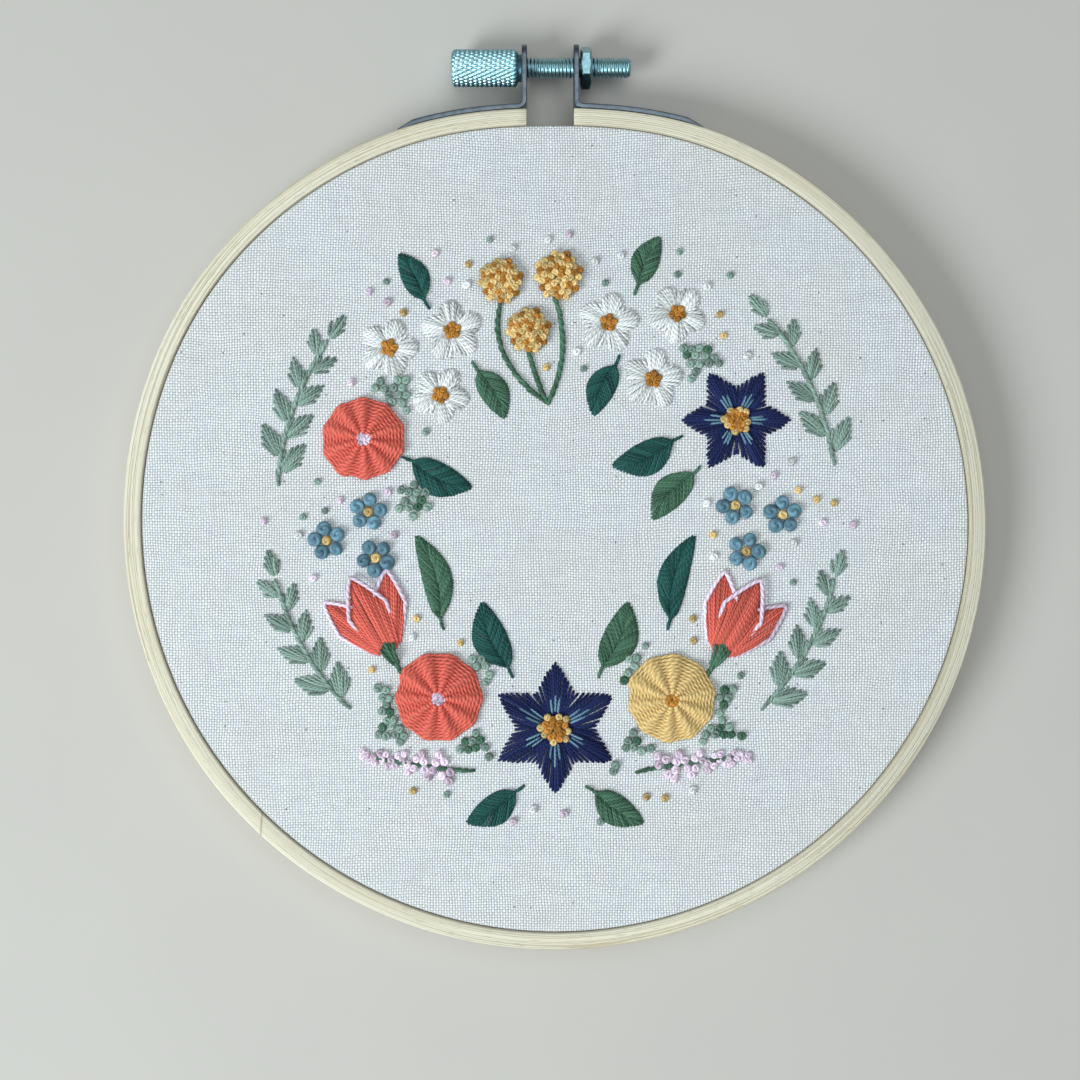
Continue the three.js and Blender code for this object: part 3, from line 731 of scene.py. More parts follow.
def outer_wall(angle):
    """Radius of the hoop's outer wall: an oval with a flat beside the gap and a full upper left side."""
    oval = 1 / np.hypot(np.cos(angle) / HALF_WIDTH, np.sin(angle) / HALF_HEIGHT)
    return oval + bump_at(angle, GAP_FLAT) + bump_at(angle, FULL_SIDE)


def round_section(low_r, high_r, low_z, high_z, corner, per_corner=5):
    """Closed section of a strip, as radius and height: a rectangle with rounded corners."""
    turn = np.linspace(0, np.pi / 2, per_corner)
    centres = [
        (high_r - corner, low_z + corner, -np.pi / 2),
        (high_r - corner, high_z - corner, 0.0),
        (low_r + corner, high_z - corner, np.pi / 2),
        (low_r + corner, low_z + corner, np.pi),
    ]
    return np.concatenate(
        [pairs(r + corner * np.cos(a + turn), z + corner * np.sin(a + turn)) for r, z, a in centres]
    )


def hoop_points(section, angle):
    """Carries a section round the hoop: each radius is scaled by the outline at its angle."""
    radius = section[..., 0] * outer_wall(angle) / HALF_WIDTH
    return np.stack([radius * np.cos(angle), radius * np.sin(angle), section[..., 1] + 0 * angle], -1)


def section_length(section):
    closed = np.concatenate([section, section[:1]])
    return np.concatenate([[0], np.cumsum(np.linalg.norm(np.diff(closed, axis=0), axis=1))])


class HOOP_OT_bamboo(bpy.types.Operator):
    """Make the split outer ring and the closed inner ring of bamboo"""

    bl_idname = "hoop.bamboo"
    bl_label = "Bamboo Rings"

    def execute(self, context):
        wood = bamboo_finish(context)
        section = round_section(HALF_WIDTH - OUTER_THICK - OUTER_GROWN, HALF_WIDTH, 0.0, RIM_TOP, 0.4)
        rows = 300
        share = np.concatenate([[0.0, 0.0001], np.linspace(0.0003, 0.9997, rows), [0.9999, 1.0]])
        middle = section.mean(0)
        inset = np.ones(len(share))
        inset[[0, -1]] = 0.95
        inset[[1, -2]] = 0.985
        grown = middle + (section - middle)[None] * inset[:, None, None]
        near_top = grown[..., 0] * (HALF_HEIGHT + GAP_FLAT[2]) / HALF_WIDTH
        first = np.arccos(GAP_LEFT / near_top)
        last = TAU + np.arccos(GAP_RIGHT / near_top)
        angle = first + (last - first) * share[:, None]
        shell = add_grid(
            Shell(), hoop_points(grown, angle), share * TAU * HALF_WIDTH, section_length(section),
            close_columns=True, caps=True,
        )
        set_piece(shell.build("bamboo_outer_ring", [wood]), "bamboo", "outer_hoop")

        low, high = INNER_OUTSIDE - INNER_THICK, INNER_OUTSIDE + INNER_GROWN
        section = round_section(low, high, 0.0, INNER_TOP + INNER_RAISED, 0.5, 4)
        rows = 240
        angle = TAU * np.arange(rows)[:, None] / rows
        points = hoop_points(np.broadcast_to(section, (rows, *section.shape)), angle)
        shell = add_grid(
            Shell(), points, np.arange(rows + 1) * TAU * INNER_OUTSIDE / rows + INNER_GRAIN_SHIFT,
            section_length(section),
            close_rows=True, close_columns=True,
        )
        set_piece(shell.build("bamboo_inner_ring", [wood]), "bamboo", "inner_hoop")
        return {"FINISHED"}


class HOOP_OT_cloth(bpy.types.Operator):
    """Make the stretched cotton cloth with its rim turned down between the rings"""

    bl_idname = "hoop.cloth"
    bl_label = "Cotton Cloth"

    def execute(self, context):
        thick = context.scene.hoop_sizes.cloth / MM
        bend = 0.5
        edge = SKIRT_OUTSIDE - bend
        flat = np.concatenate([np.linspace(0.25, edge - 1, 90), [edge]])
        turn = np.linspace(0, np.pi / 2, 7)[1:]
        drop = np.linspace(CLOTH_TOP - bend, SKIRT_FOOT, 9)[1:]
        radius = np.concatenate([flat, edge + bend * np.sin(turn), np.full(len(drop), SKIRT_OUTSIDE)])
        height = np.concatenate([np.full(len(flat), CLOTH_TOP), CLOTH_TOP - bend + bend * np.cos(turn), drop])
        section = pairs(radius, height)
        steps = np.linalg.norm(np.diff(section, axis=0), axis=1)
        travel = np.concatenate([[radius[0]], radius[0] + np.cumsum(steps)])
        columns = 288
        angle = TAU * np.arange(columns)[None] / columns
        points = hoop_points(np.broadcast_to(section[:, None], (len(section), columns, 2)), angle)
        points[-1, :, 2] += 0.25 * np.sin(23 * angle[0]) * np.sin(5 * angle[0] + 1)
        quads, row, column = grid_faces(len(section), columns, close_columns=True)
        flat_angle = TAU * column / columns
        uvs = travel[row][..., None] * pairs(np.cos(flat_angle), np.sin(flat_angle))
        cap = disc_faces(np.arange(columns))
        cap_uv = points.reshape(-1, 3)[cap][..., :2]
        shell = Shell().add(points, np.concatenate([quads, cap]), np.concatenate([uvs, cap_uv]))
        piece = shell.build("cotton_cloth", [cotton_finish(context)])
        thicken(piece, thick, -1)
        set_piece(piece, "cotton", "cloth")
        return {"FINISHED"}


def bracket_shell(side, end_x, last_angle):
    """Middle sheet of a clamp strip: a tab plate round its screw hole, one bend, and a strap along the wall.

    The tab's rings go from its outline to the hole; the strap carries the strip's width along the plan line.
    """
    middle_bend = STRIP_BEND + STRIP_THICK / 2
    outer_bend = STRIP_BEND + STRIP_THICK
    bend_x = end_x + side * outer_bend
    first_angle = np.pi / 2 - np.arcsin(bend_x / (HALF_HEIGHT - 1))
    start_y = (outer_wall(first_angle) + 0.3) * np.sin(first_angle)
    bend_y = start_y + outer_bend
    width = np.linspace(-STRIP_WIDTH / 2, STRIP_WIDTH / 2, STRIP_COLUMNS)
    turn = np.linspace(0, np.pi / 2, 9)
    arc = pairs(bend_x - side * middle_bend * np.cos(turn), bend_y - middle_bend * np.sin(turn))
    angle = np.linspace(first_angle, np.radians(last_angle), 28)[1:]
    tail = np.clip((angle - angle[-1]) / (angle[-5] - angle[-1]), 0, 1)
    radius = outer_wall(angle) + 0.1 + 0.2 * tail + STRIP_THICK / 2 * (0.3 + 0.7 * tail)
    wall = pairs(*around(0, 0, radius, angle))
    line = np.concatenate([arc, wall])
    plan = np.broadcast_to(line[:, None], (len(line), STRIP_COLUMNS, 2))
    level = np.broadcast_to(SCREW_Z + width[:, None], (len(line), STRIP_COLUMNS, 1))
    strap = np.concatenate([plan, level], -1)
    half, top = STRIP_WIDTH / 2, TAB_TOP - SCREW_Y
    foot = bend_y - SCREW_Y
    quarter = np.linspace(0, np.pi / 2, 8)
    bottom = pairs(np.full(STRIP_COLUMNS, foot), width)
    right = pairs(np.linspace(foot, top - TAB_CORNER, 7)[1:-1], np.full(5, half))
    round_up = top - TAB_CORNER + TAB_CORNER * np.sin(quarter)
    round_side = half - TAB_CORNER + TAB_CORNER * np.cos(quarter)
    corner_a = pairs(round_up, round_side)
    corner_b = corner_a[::-1] * (1, -1)
    left = right[::-1] * (1, -1)
    outline = np.concatenate([bottom, right, corner_a, corner_b, left])
    spoke = np.arctan2(outline[:, 1], outline[:, 0])
    hole = HOLE_RADIUS * pairs(np.cos(spoke), np.sin(spoke))
    mix = np.linspace(0, 1, 5)[:, None, None]
    plate = outline[None] * (1 - mix) + hole[None] * mix
    tab_x = np.full((*plate.shape[:2], 1), end_x + side * STRIP_THICK / 2)
    tab = np.concatenate([tab_x, SCREW_Y + plate[..., :1], SCREW_Z + plate[..., 1:]], -1)
    shell = Shell()
    quads, _, _ = grid_faces(*tab.shape[:2], close_columns=True)
    uvs = tab.reshape(-1, 3)[quads][..., 1:]
    if side > 0:
        quads, uvs = quads[:, ::-1], uvs[:, ::-1]
    shell.add(tab, quads, uvs)
    quads, row, column = grid_faces(*strap.shape[:2])
    tab_count = tab.shape[0] * tab.shape[1]
    strap_count = (len(line) - 1) * STRIP_COLUMNS
    numbers = np.concatenate([np.arange(STRIP_COLUMNS), tab_count + np.arange(strap_count)])
    quads = numbers[quads]
    uvs = pairs(row * 1.0, column * 1.0)
    if side < 0:
        quads, uvs = quads[:, ::-1], uvs[:, ::-1]
    # The strap's first row is the tab's foot, so its faces count from the tab's first point
    shell.count = 0
    shell.add(strap[1:], quads, uvs)
    full = tab_count + (len(arc) - 1) * STRIP_COLUMNS
    weights = np.concatenate([np.ones(full), np.repeat(0.3 + 0.7 * tail, STRIP_COLUMNS)])
    return shell, weights


class HOOP_OT_clamp(bpy.types.Operator):
    """Make the two bent clamp strips"""

    bl_idname = "hoop.clamp"
    bl_label = "Clamp Strips"

    def execute(self, context):
        plate = metal_finish(context, "steel", "steel", 0.28)
        strips = (
            ("bracket_left", -1, GAP_LEFT, STRIP_END_LEFT),
            ("bracket_right", 1, GAP_RIGHT, STRIP_END_RIGHT),
        )
        for node, side, end_x, last_angle in strips:
            shell, weights = bracket_shell(side, end_x, last_angle)
            piece = shell.build("clamp_strip_" + node[8:], [plate])
            group = piece.vertex_groups.new(name="thickness")
            for level in np.unique(weights):
                group.add(np.flatnonzero(weights == level).tolist(), float(level), "REPLACE")
            thicken(piece, STRIP_THICK, 0).vertex_group = "thickness"
            soften(piece, 0.18)
            set_piece(piece, "steel", node)
        return {"FINISHED"}


def wave(turns):
    """Triangle wave of whole turns: 0 in a groove, 1 on a crest."""
    return 1 - 2 * np.abs(turns - np.floor(turns) - 0.5)


def knurl(x, turn):
    """Depth cut by two crossing sets of slanting grooves: what is left are small diamonds."""
    count = KNURL_TEETH * turn / TAU
    ridge = np.minimum(wave(count + x / KNURL_SLANT), wave(count - x / KNURL_SLANT))
    return KNURL_DEPTH * (1 - np.minimum(1, ridge * 1.5))


def thread(x, turn):
    """Depth cut by one groove that winds along the rod once in each pitch."""
    return THREAD_DEPTH * (1 - wave(x / THREAD_PITCH - turn / TAU))


def add_lathed(shell, rings, groove, kind):
    """Closed body round the screw's axis: rings of x and radius, the widest of them cut by the groove."""
    x, radius = np.array(rings).T
    turn = TAU * np.arange(SCREW_COLUMNS) / SCREW_COLUMNS
    reach = radius[:, None] - np.where(radius[:, None] == radius.max(), groove(x[:, None], turn), 0)
    up, side = SCREW_Y + reach * np.cos(turn), SCREW_Z + reach * np.sin(turn)
    points = np.stack([x[:, None] + 0 * turn, up, side], -1)
    share = np.arange(SCREW_COLUMNS + 1) / SCREW_COLUMNS
    return add_grid(shell, points, x, share, close_columns=True, flip=True, caps=True, kind=kind)


class HOOP_OT_screw(bpy.types.Operator):
    """Make the knurled thumbscrew with its threaded rod"""

    bl_idname = "hoop.screw"
    bl_label = "Thumbscrew"

    def execute(self, context):
        head = [
            (HEAD_LEFT, 1.2), (HEAD_LEFT, HEAD_RADIUS - 0.75), (HEAD_LEFT + 0.12, HEAD_RADIUS - 0.5),
            *[(x, HEAD_RADIUS) for x in np.linspace(HEAD_LEFT + 0.55, HEAD_RIGHT - 0.55, 92)],
            (HEAD_RIGHT - 0.12, HEAD_RADIUS - 0.5), (HEAD_RIGHT, HEAD_RADIUS - 0.75),
            (HEAD_RIGHT, COLLAR_RADIUS), (HEAD_RIGHT + COLLAR_THICK - 0.1, COLLAR_RADIUS),
            (HEAD_RIGHT + COLLAR_THICK, COLLAR_RADIUS - 0.1), (HEAD_RIGHT + COLLAR_THICK, 1.2),
        ]
        rod = [
            (HEAD_RIGHT, 0.6), (HEAD_RIGHT, ROD_RADIUS - 0.1), (HEAD_RIGHT + 0.9, ROD_RADIUS - 0.1),
            *[(x, ROD_RADIUS) for x in np.arange(HEAD_RIGHT + 1.2, ROD_RIGHT - 0.5, THREAD_PITCH / 7)],
            (ROD_RIGHT, ROD_RADIUS - 0.55), (ROD_RIGHT, 0.6),
        ]
        shell = Shell()
        add_lathed(shell, head, knurl, 0)
        add_lathed(shell, rod, thread, 1)
        bright = metal_finish(context, "zinc", "zinc", 0.27)
        # The rod is the same zinc, darkened by painted shade
        painted_dimming = metal_finish(context, "rod", "zinc", 0.27, 0.6)
        piece = shell.build("knurled_thumbscrew", [bright, painted_dimming])
        set_piece(piece, "zinc", "thumbscrew", body="screw")
        return {"FINISHED"}


class HOOP_OT_nut(bpy.types.Operator):
    """Make the hexagon nut with chamfered corners"""

    bl_idname = "hoop.nut"
    bl_label = "Hexagon Nut"

    def execute(self, context):
        columns = 144
        turn = TAU * np.arange(columns) / columns
        wedge = (turn - np.pi / 6) - np.round((turn - np.pi / 6) / (np.pi / 3)) * np.pi / 3
        hexagon = NUT_FLATS / 2 / np.cos(wedge)
        far = NUT_LEFT + NUT_THICK
        limits = (
            (NUT_LEFT, HOLE_RADIUS), (NUT_LEFT, 3.3), (NUT_LEFT + 0.06, 3.46), (NUT_LEFT + 0.34, 4.2),
            (far - 0.34, 4.2), (far - 0.06, 3.46), (far, 3.3), (far, HOLE_RADIUS),
        )
        points = np.stack(
            [
                np.stack(
                    [np.full(columns, x), SCREW_Y + np.minimum(hexagon, r) * np.cos(turn),
                     SCREW_Z + np.minimum(hexagon, r) * np.sin(turn)], -1,
                )
                for x, r in limits
            ]
        )
        shell = add_grid(
            Shell(), points, np.arange(9.0), np.arange(columns + 1) / columns, close_rows=True,
            close_columns=True, flip=True,
        )
        # The nut is the same zinc, darkened by painted shade
        piece = shell.build("hexagon_nut", [metal_finish(context, "nut", "zinc", 0.22, 0.47)])
        soften(piece, 0.1)
        set_piece(piece, "zinc", "nut")
        return {"FINISHED"}


# Stitched motifs


class HOOP_OT_stars(bpy.types.Operator):
    """Stitch the navy star flowers with veined petals and a heart of knots"""

    bl_idname = "hoop.stars"
    bl_label = "Star Flowers"

    def execute(self, context):
        strand = context.scene.hoop_sizes.strand / MM
        for number, (node, x, y, radius, turn) in enumerate(STARS):
            rng = np.random.default_rng(20 + number)
            shell = Shell()
            for petal in range(6):
                start, end, across = fan(
                    radius, radius * 0.56, radius * 0.13, lambda s: 1 - 0.5 * np.abs(s) ** 1.25,
                    strand * 0.92, rng,
                )
                path = stitches(start, end, 0.55 * (1 - across ** 2) + 0.12, rng)
                add_threads(shell, turned(path, x, y, turn + 60 * petal), strand / 2, 0, rng=rng)
                vein_y = np.array([-0.9, 0.0, 0.9]) * radius / 12
                vein_end = pairs(radius * np.array([0.52, 0.68, 0.52]), vein_y)
                vein_start = pairs(np.full(3, radius * 0.2), vein_y * 0.5)
                vein = stitches(vein_start, vein_end, 0.78, rng)
                add_threads(shell, turned(vein, x, y, turn + 60 * petal), strand * 0.42, 1, rng=rng)
            seeds = np.arange(HEART_KNOTS)
            reach = radius * 0.225 * np.sqrt((seeds + 0.5) / HEART_KNOTS)
            spin = seeds * GOLDEN_ANGLE
            heart_x, heart_y = around(x, y, reach, spin)
            base = 0.45 + 0.45 * (1 - (reach / 3) ** 2)
            add_knots(shell, heart_x[:11], heart_y[:11], 1.6, rng, 2, base[:11])
            add_knots(shell, heart_x[11:], heart_y[11:], 1.6, rng, 3, base[11:])
            stitch_piece(context, shell, node, "navy", "blue", "mustard", "gold")
        return {"FINISHED"}


class HOOP_OT_wheels(bpy.types.Operator):
    """Weave the ribbed wheels: one floss whipped round its spokes in a spiral"""

    bl_idname = "hoop.wheels"
    bl_label = "Ribbed Wheels"

    def execute(self, context):
        for number, (node, thread, x, y, radius, turn) in enumerate(WHEELS):
            rng = np.random.default_rng(40 + number)
            ribs, gap = 10, 0.62
            turns = (radius - 1.4) / gap
            t = np.linspace(0, 1, int(turns * 72))
            spin = TAU * turns * t + np.radians(turn)
            rib = np.cos(ribs * (spin - np.radians(turn)))
            reach = 1.1 + (radius - 1.5) * t
            share = reach / (radius - 0.4)
            dome = 0.32 + 1.75 * (1 - share ** 2) ** 0.55
            reach = reach + 0.10 * rib
            height = CLOTH_TOP + dome + 0.30 * rib * np.clip(2.2 * share, 0, 1) * (1 - 0.55 * share ** 6)
            reach[-5:] -= np.linspace(0, 0.5, 5)
            height[-5:] -= np.linspace(0, 0.9, 5)
            path = np.stack([*around(x, y, reach, spin), height], -1)[None]
            size = (0.36 * (1 + 0.30 * np.maximum(rib, -0.4)))[None]
            shell = add_threads(Shell(), path, size, 0, sides=8, tone=0.55)
            angle = np.radians(turn) + TAU * np.arange(ribs) / ribs
            inner = pairs(*around(x, y, 0.3, angle))
            outer = pairs(*around(x, y, radius - 0.5, angle))
            spokes = stitches(inner, outer, 1.1, rng)
            add_threads(shell, spokes, 0.3, 0, tone=0.3)
            heart_x, heart_y = around(x, y, 0.9, angle[::2])
            add_knots(shell, np.append(heart_x, x), np.append(heart_y, y), 1.55, rng, 1, 1.65)
            heart = "mustard" if thread == "gold" else "pink"
            stitch_piece(context, shell, node, thread, heart)
        return {"FINISHED"}


class HOOP_OT_blossoms(bpy.types.Operator):
    """Stitch the white blossoms with satin petals and mustard knots"""

    bl_idname = "hoop.blossoms"
    bl_label = "Blossoms"

    def execute(self, context):
        strand = context.scene.hoop_sizes.strand / MM
        for number, (node, x, y, radius, turn) in enumerate(BLOSSOMS):
            rng = np.random.default_rng(60 + number)
            shell = Shell()
            for petal in range(5):
                start, end, across = fan(
                    radius, radius * 0.84, radius * 0.16, lambda s: np.sqrt(1 - (0.86 * s) ** 2),
                    strand * 0.95, rng, root_share=0.36, jitter=0.15,
                )
                path = stitches(start, end, 0.42 * (1 - across ** 2) + 0.10, rng)
                spread = strand * np.interp(STITCH_STEPS, [0, 0.5, 1], [0.40, 0.58, 0.62])
                add_threads(shell, turned(path, x, y, turn + 72 * petal), spread, 0, rng=rng)
            angle = np.radians(turn) + TAU * np.arange(5) / 5
            heart_x, heart_y = around(x, y, 1.05, angle)
            add_knots(shell, np.append(heart_x, x), np.append(heart_y, y), 1.45, rng, 1, 0.35)
            stitch_piece(context, shell, node, "white", "mustard")
        return {"FINISHED"}


class HOOP_OT_knot_flowers(bpy.types.Operator):
    """Knot the small blue flowers"""

    bl_idname = "hoop.knot_flowers"
    bl_label = "Knot Flowers"

    def execute(self, context):
        for number, (node, x, y, radius, turn) in enumerate(KNOT_FLOWERS):
            rng = np.random.default_rng(80 + number)
            angle = np.radians(turn) + TAU * np.arange(5) / 5
            reach = radius * 0.62
            shell = Shell()
            add_knots(shell, *around(x, y, reach, angle), 2.75, rng, 0, 0.0, 24, 8)
            add_knots(shell, x, y, 2.0, rng, 1, 0.1, 20, 6)
            stitch_piece(context, shell, node, "blue", "gold")
        return {"FINISHED"}


class HOOP_OT_balls(bpy.types.Operator):
    """Knot the gold ball flowers and lay their stalks"""

    bl_idname = "hoop.balls"
    bl_label = "Ball Flowers"

    def execute(self, context):
        for number, (node, x, y, radius) in enumerate(BALLS):
            rng = np.random.default_rng(100 + number)
            seeds = np.arange(BALL_KNOTS)
            share = np.sqrt((seeds + 0.5) / BALL_KNOTS)
            spin = seeds * GOLDEN_ANGLE
            reach = (radius - 0.75) * share
            base = 1.55 * np.sqrt(1 - 0.92 * share ** 2)
            shell = Shell()
            at_x, at_y = around(x, y, reach, spin)
            dark = seeds % 3 == 0
            add_knots(shell, at_x[dark], at_y[dark], 1.6, rng, 1, base[dark])
            add_knots(shell, at_x[~dark], at_y[~dark], 1.6, rng, 0, base[~dark])
            stitch_piece(context, shell, node, "gold", "mustard")
        rng = np.random.default_rng(110)
        shell = Shell()
        t = np.linspace(0, 1, 13)[:, None]
        foot = np.array(STALK_FOOT)
        for x, y, aside in STALKS:
            tip = np.array([x, y])
            middle = (foot + tip) / 2 + (aside, 0)
            tip = tip + (tip - middle) * STALK_INTO_BALL / np.linalg.norm(tip - middle)
            line = bowed(foot, middle, tip, t)
            add_threads(shell, stem_stitches(line, rng), 0.36, 0, rng=rng)
        set_piece(shell.build("stitched_ball_stalks", floss(context, "fern")), "green_thread", "ball_stalks")
        return {"FINISHED"}


class HOOP_OT_leaves(bpy.types.Operator):
    """Stitch the fishbone leaves: strands slant from the middle line to both edges"""

    bl_idname = "hoop.leaves"
    bl_label = "Leaves"

    def execute(self, context):
        strand = context.scene.hoop_sizes.strand / MM
        for number, (node, x, y, heading, length, width, bend) in enumerate(LEAVES):
            rng = np.random.default_rng(120 + number)
            shell = Shell()
            count = int(length / (strand * 1.02))
            tip = np.linspace(0.14, 1.0, count)
            for side in (-1, 1):
                edge = blade_side(tip, length, width, bend, side)
                rib = blade_side(np.clip(tip - 0.27, 0, 1), length, width, bend, -0.02 * side, blunt=0.6)
                rib = rib + rng.normal(0, 0.07, rib.shape)
                path = stitches(rib, edge, 0.28 + 0.15 * np.sin(np.pi * tip), rng)
                add_threads(shell, turned(path, x, y, heading), strand / 2, number % 2, rng=rng)
            line = pairs(np.linspace(-2.2, 1.6, 6), np.zeros(6))
            stem = turned(stem_stitches(line, rng, 0.1), x, y, heading)
            add_threads(shell, stem, 0.26, number % 2, rng=rng)
            stitch_piece(context, shell, node, "green", "fern")
        return {"FINISHED"}


class HOOP_OT_tulips(bpy.types.Operator):
    """Stitch the coral tulips with pale pink outlines"""

    bl_idname = "hoop.tulips"
    bl_label = "Tulips"

    def execute(self, context):
        strand = context.scene.hoop_sizes.strand / MM
        rope = context.scene.hoop_sizes.rope / MM
        for number, (node, x, y, heading) in enumerate(TULIPS):
            rng = np.random.default_rng(140 + number)
            shell = Shell()
            for lean, begin, share, width in TULIP_PETALS:
                length = TULIP_LENGTH * share
                top = 0.7 if lean == 0 else 0.0
                count = int(width / (strand * 0.8))
                across = np.linspace(-1, 1, count)
                tip_x = length * (1 - 0.42 * np.abs(across) ** 1.3) - rng.random(count) * 0.3
                root_x = 0.25 + 0.9 * np.abs(across) + rng.random(count) * 0.4
                start = pairs(begin + root_x, across * width * 0.27)
                end = pairs(begin + tip_x, across * width * 0.5)
                path = stitches(start, end, top + 0.5 * (1 - across ** 2) + 0.15, rng)
                add_threads(shell, turned(turned(path, 0, 0, lean), x, y, heading), strand / 2, 0, rng=rng)
                s = np.linspace(-1, 1, 17)
                edge_x = begin + length * (1 - 0.42 * np.abs(s) ** 1.3) + 0.15
                edge = pairs(edge_x, s * (width * 0.5 + 0.2))
                foot = pairs(np.full(1, begin + 0.9), np.full(1, width * 0.27 + 0.3))
                line = np.concatenate([foot * (1, -1), edge, foot])
                rim = rope_path(line, 0.42 + top)
                add_threads(shell, turned(turned(rim, 0, 0, lean), x, y, heading), rope * 0.42, 1, rng=rng)
            line = pairs(np.linspace(-4.2, -0.4, 6), np.zeros(6))
            add_threads(shell, turned(stem_stitches(line, rng), x, y, heading), rope * 0.36, 2, rng=rng)
            calyx_y = np.array([-1.5, -0.7, 0.0, 0.7, 1.5])
            start = pairs(np.full(5, -1.6), calyx_y * 0.3)
            end = pairs(np.array([2.6, 3.4, 3.9, 3.4, 2.6]), calyx_y)
            cup = stitches(start, end, 1.2, rng)
            add_threads(shell, turned(cup, x, y, heading), rope * 0.36, 2, rng=rng)
            stitch_piece(context, shell, node, "coral", "pink", "fern")
        return {"FINISHED"}


class HOOP_OT_sprigs(bpy.types.Operator):
    """Stitch the sage sprigs that follow the wreath"""

    bl_idname = "hoop.sprigs"
    bl_label = "Sprigs"

    def execute(self, context):
        strand = context.scene.hoop_sizes.strand / MM
        for number, (node, first, last, inner, outer) in enumerate(SPRIGS):
            rng = np.random.default_rng(160 + number)
            shell = Shell()
            t = np.linspace(0, 1, 19)
            angle = np.radians(first + (last - first) * t)
            radius = inner + (outer - inner) * t
            line = pairs(*around(0, 0, radius, angle))
            add_threads(shell, stem_stitches(line, rng), 0.32, 0, rng=rng)
            heading = np.degrees(np.unwrap(np.arctan2(*np.gradient(line, axis=0).T[::-1])))
            places = [(1.0, 0, 0.75)]
            for pair in range(SPRIG_PAIRS):
                for side in (-1, 1):
                    at = (pair + 0.55 + 0.22 * side) / (SPRIG_PAIRS + 0.35)
                    places.append((at, side, 1 - 0.3 * at))
            for at, side, size in places:
                x, y = (np.interp(at, t, line[:, i]) for i in range(2))
                length, width = SPRIG_LEAF_LENGTH * size, SPRIG_LEAF_WIDTH * size
                count = max(5, int(width / (strand * 0.8)))
                across = np.linspace(-1, 1, count)
                start_x = 0.3 + 0.5 * np.abs(across) + rng.random(count) * 0.5
                start = pairs(start_x, across * width * 0.2)
                end = pairs(length * (1 - 0.45 * np.abs(across) ** 1.2), across * width * 0.55)
                path = stitches(start, end, 0.3 * (1 - across ** 2) + 0.1, rng)
                aim = np.interp(at, t, heading) + side * SPRIG_SPREAD
                add_threads(shell, turned(path, x, y, aim), strand / 2, 0, rng=rng)
            stitch_piece(context, shell, node, "sage")
        return {"FINISHED"}


class HOOP_OT_heather(bpy.types.Operator):
    """Knot the pink heather spikes"""

    bl_idname = "hoop.heather"
    bl_label = "Heather"

    def execute(self, context):
        for number, (node, x, y, heading) in enumerate(SPIKES):
            rng = np.random.default_rng(180 + number)
            sway = 0.25 * np.sin(np.linspace(0, 3, 15))
            line = pairs(np.linspace(-1.0, SPIKE_LENGTH - 3, 15), sway)
            shell = add_threads(Shell(), turned(stem_stitches(line, rng), x, y, heading), 0.3, 1, rng=rng)
            t = np.linspace(0, 1, 10)
            side = np.where(np.arange(10) % 2 == 0, 1, -1)
            at = pairs(4 + t * (SPIKE_LENGTH - 5), side * 1.5 * (1 - 0.75 * t))
            cluster = TAU * (np.arange(3) / 3 + 0.13 * np.arange(10)[:, None])
            wide = (0.95 - 0.4 * t)[:, None]
            bells = pairs(at[:, :1] + wide * np.cos(cluster), at[:, 1:] + wide * np.sin(cluster))
            bells = turned(np.concatenate([bells, np.zeros((10, 3, 1))], -1), x, y, heading).reshape(-1, 3)
            add_knots(shell, bells[:, 0], bells[:, 1], np.repeat(1.95 - 0.5 * t, 3), rng, 0)
            stitch_piece(context, shell, node, "pink", "fern")
        return {"FINISHED"}


def covered():
    """Circles that the motifs cover, as rows of x, y and radius."""
    rounds = [item[-4:-1] for item in (*STARS, *WHEELS, *BLOSSOMS, *KNOT_FLOWERS)]
    rounds += [item[1:] for item in BALLS]
    for _, x, y, heading, length, width, _ in LEAVES:
        aim = np.radians(heading)
        rounds += [(*around(x, y, length * t, aim), width * 0.5) for t in np.linspace(0, 0.9, 6)]
    for _, x, y, heading in TULIPS:
        aim = np.radians(heading)
        rounds += [(*around(x, y, at, aim), r) for at, r in ((0, 2.5), (5, 4.5), (11, 8.0))]
    for _, first, last, inner, outer in SPRIGS:
        for t in np.linspace(0, 1.1, 10):
            angle, radius = np.radians(first + (last - first) * t), inner + (outer - inner) * t
            rounds.append((*around(0, 0, radius, angle), 5.4))
    for _, x, y, heading in SPIKES:
        aim = np.radians(heading)
        rounds += [(*around(x, y, at, aim), 3.0) for at in np.linspace(-1, SPIKE_LENGTH, 9)]
    t = np.linspace(0, 1, 9)
    for x, y, aside in STALKS:
        middle = (STALK_FOOT[0] + x) / 2 + aside, (STALK_FOOT[1] + y) / 2
        ends = zip(STALK_FOOT, middle, (x, y))
        line = [bowed(*end, t) for end in ends]
        rounds += [(px, py, 0.8) for px, py in zip(*line)]
    return np.array(rounds)


def clear_of(points, rounds):
    """Distance of each point from the nearest circle's edge."""
    away = np.linalg.norm(points[:, None] - rounds[None, :, :2], axis=2) - rounds[None, :, 2]
    return away.min(1)


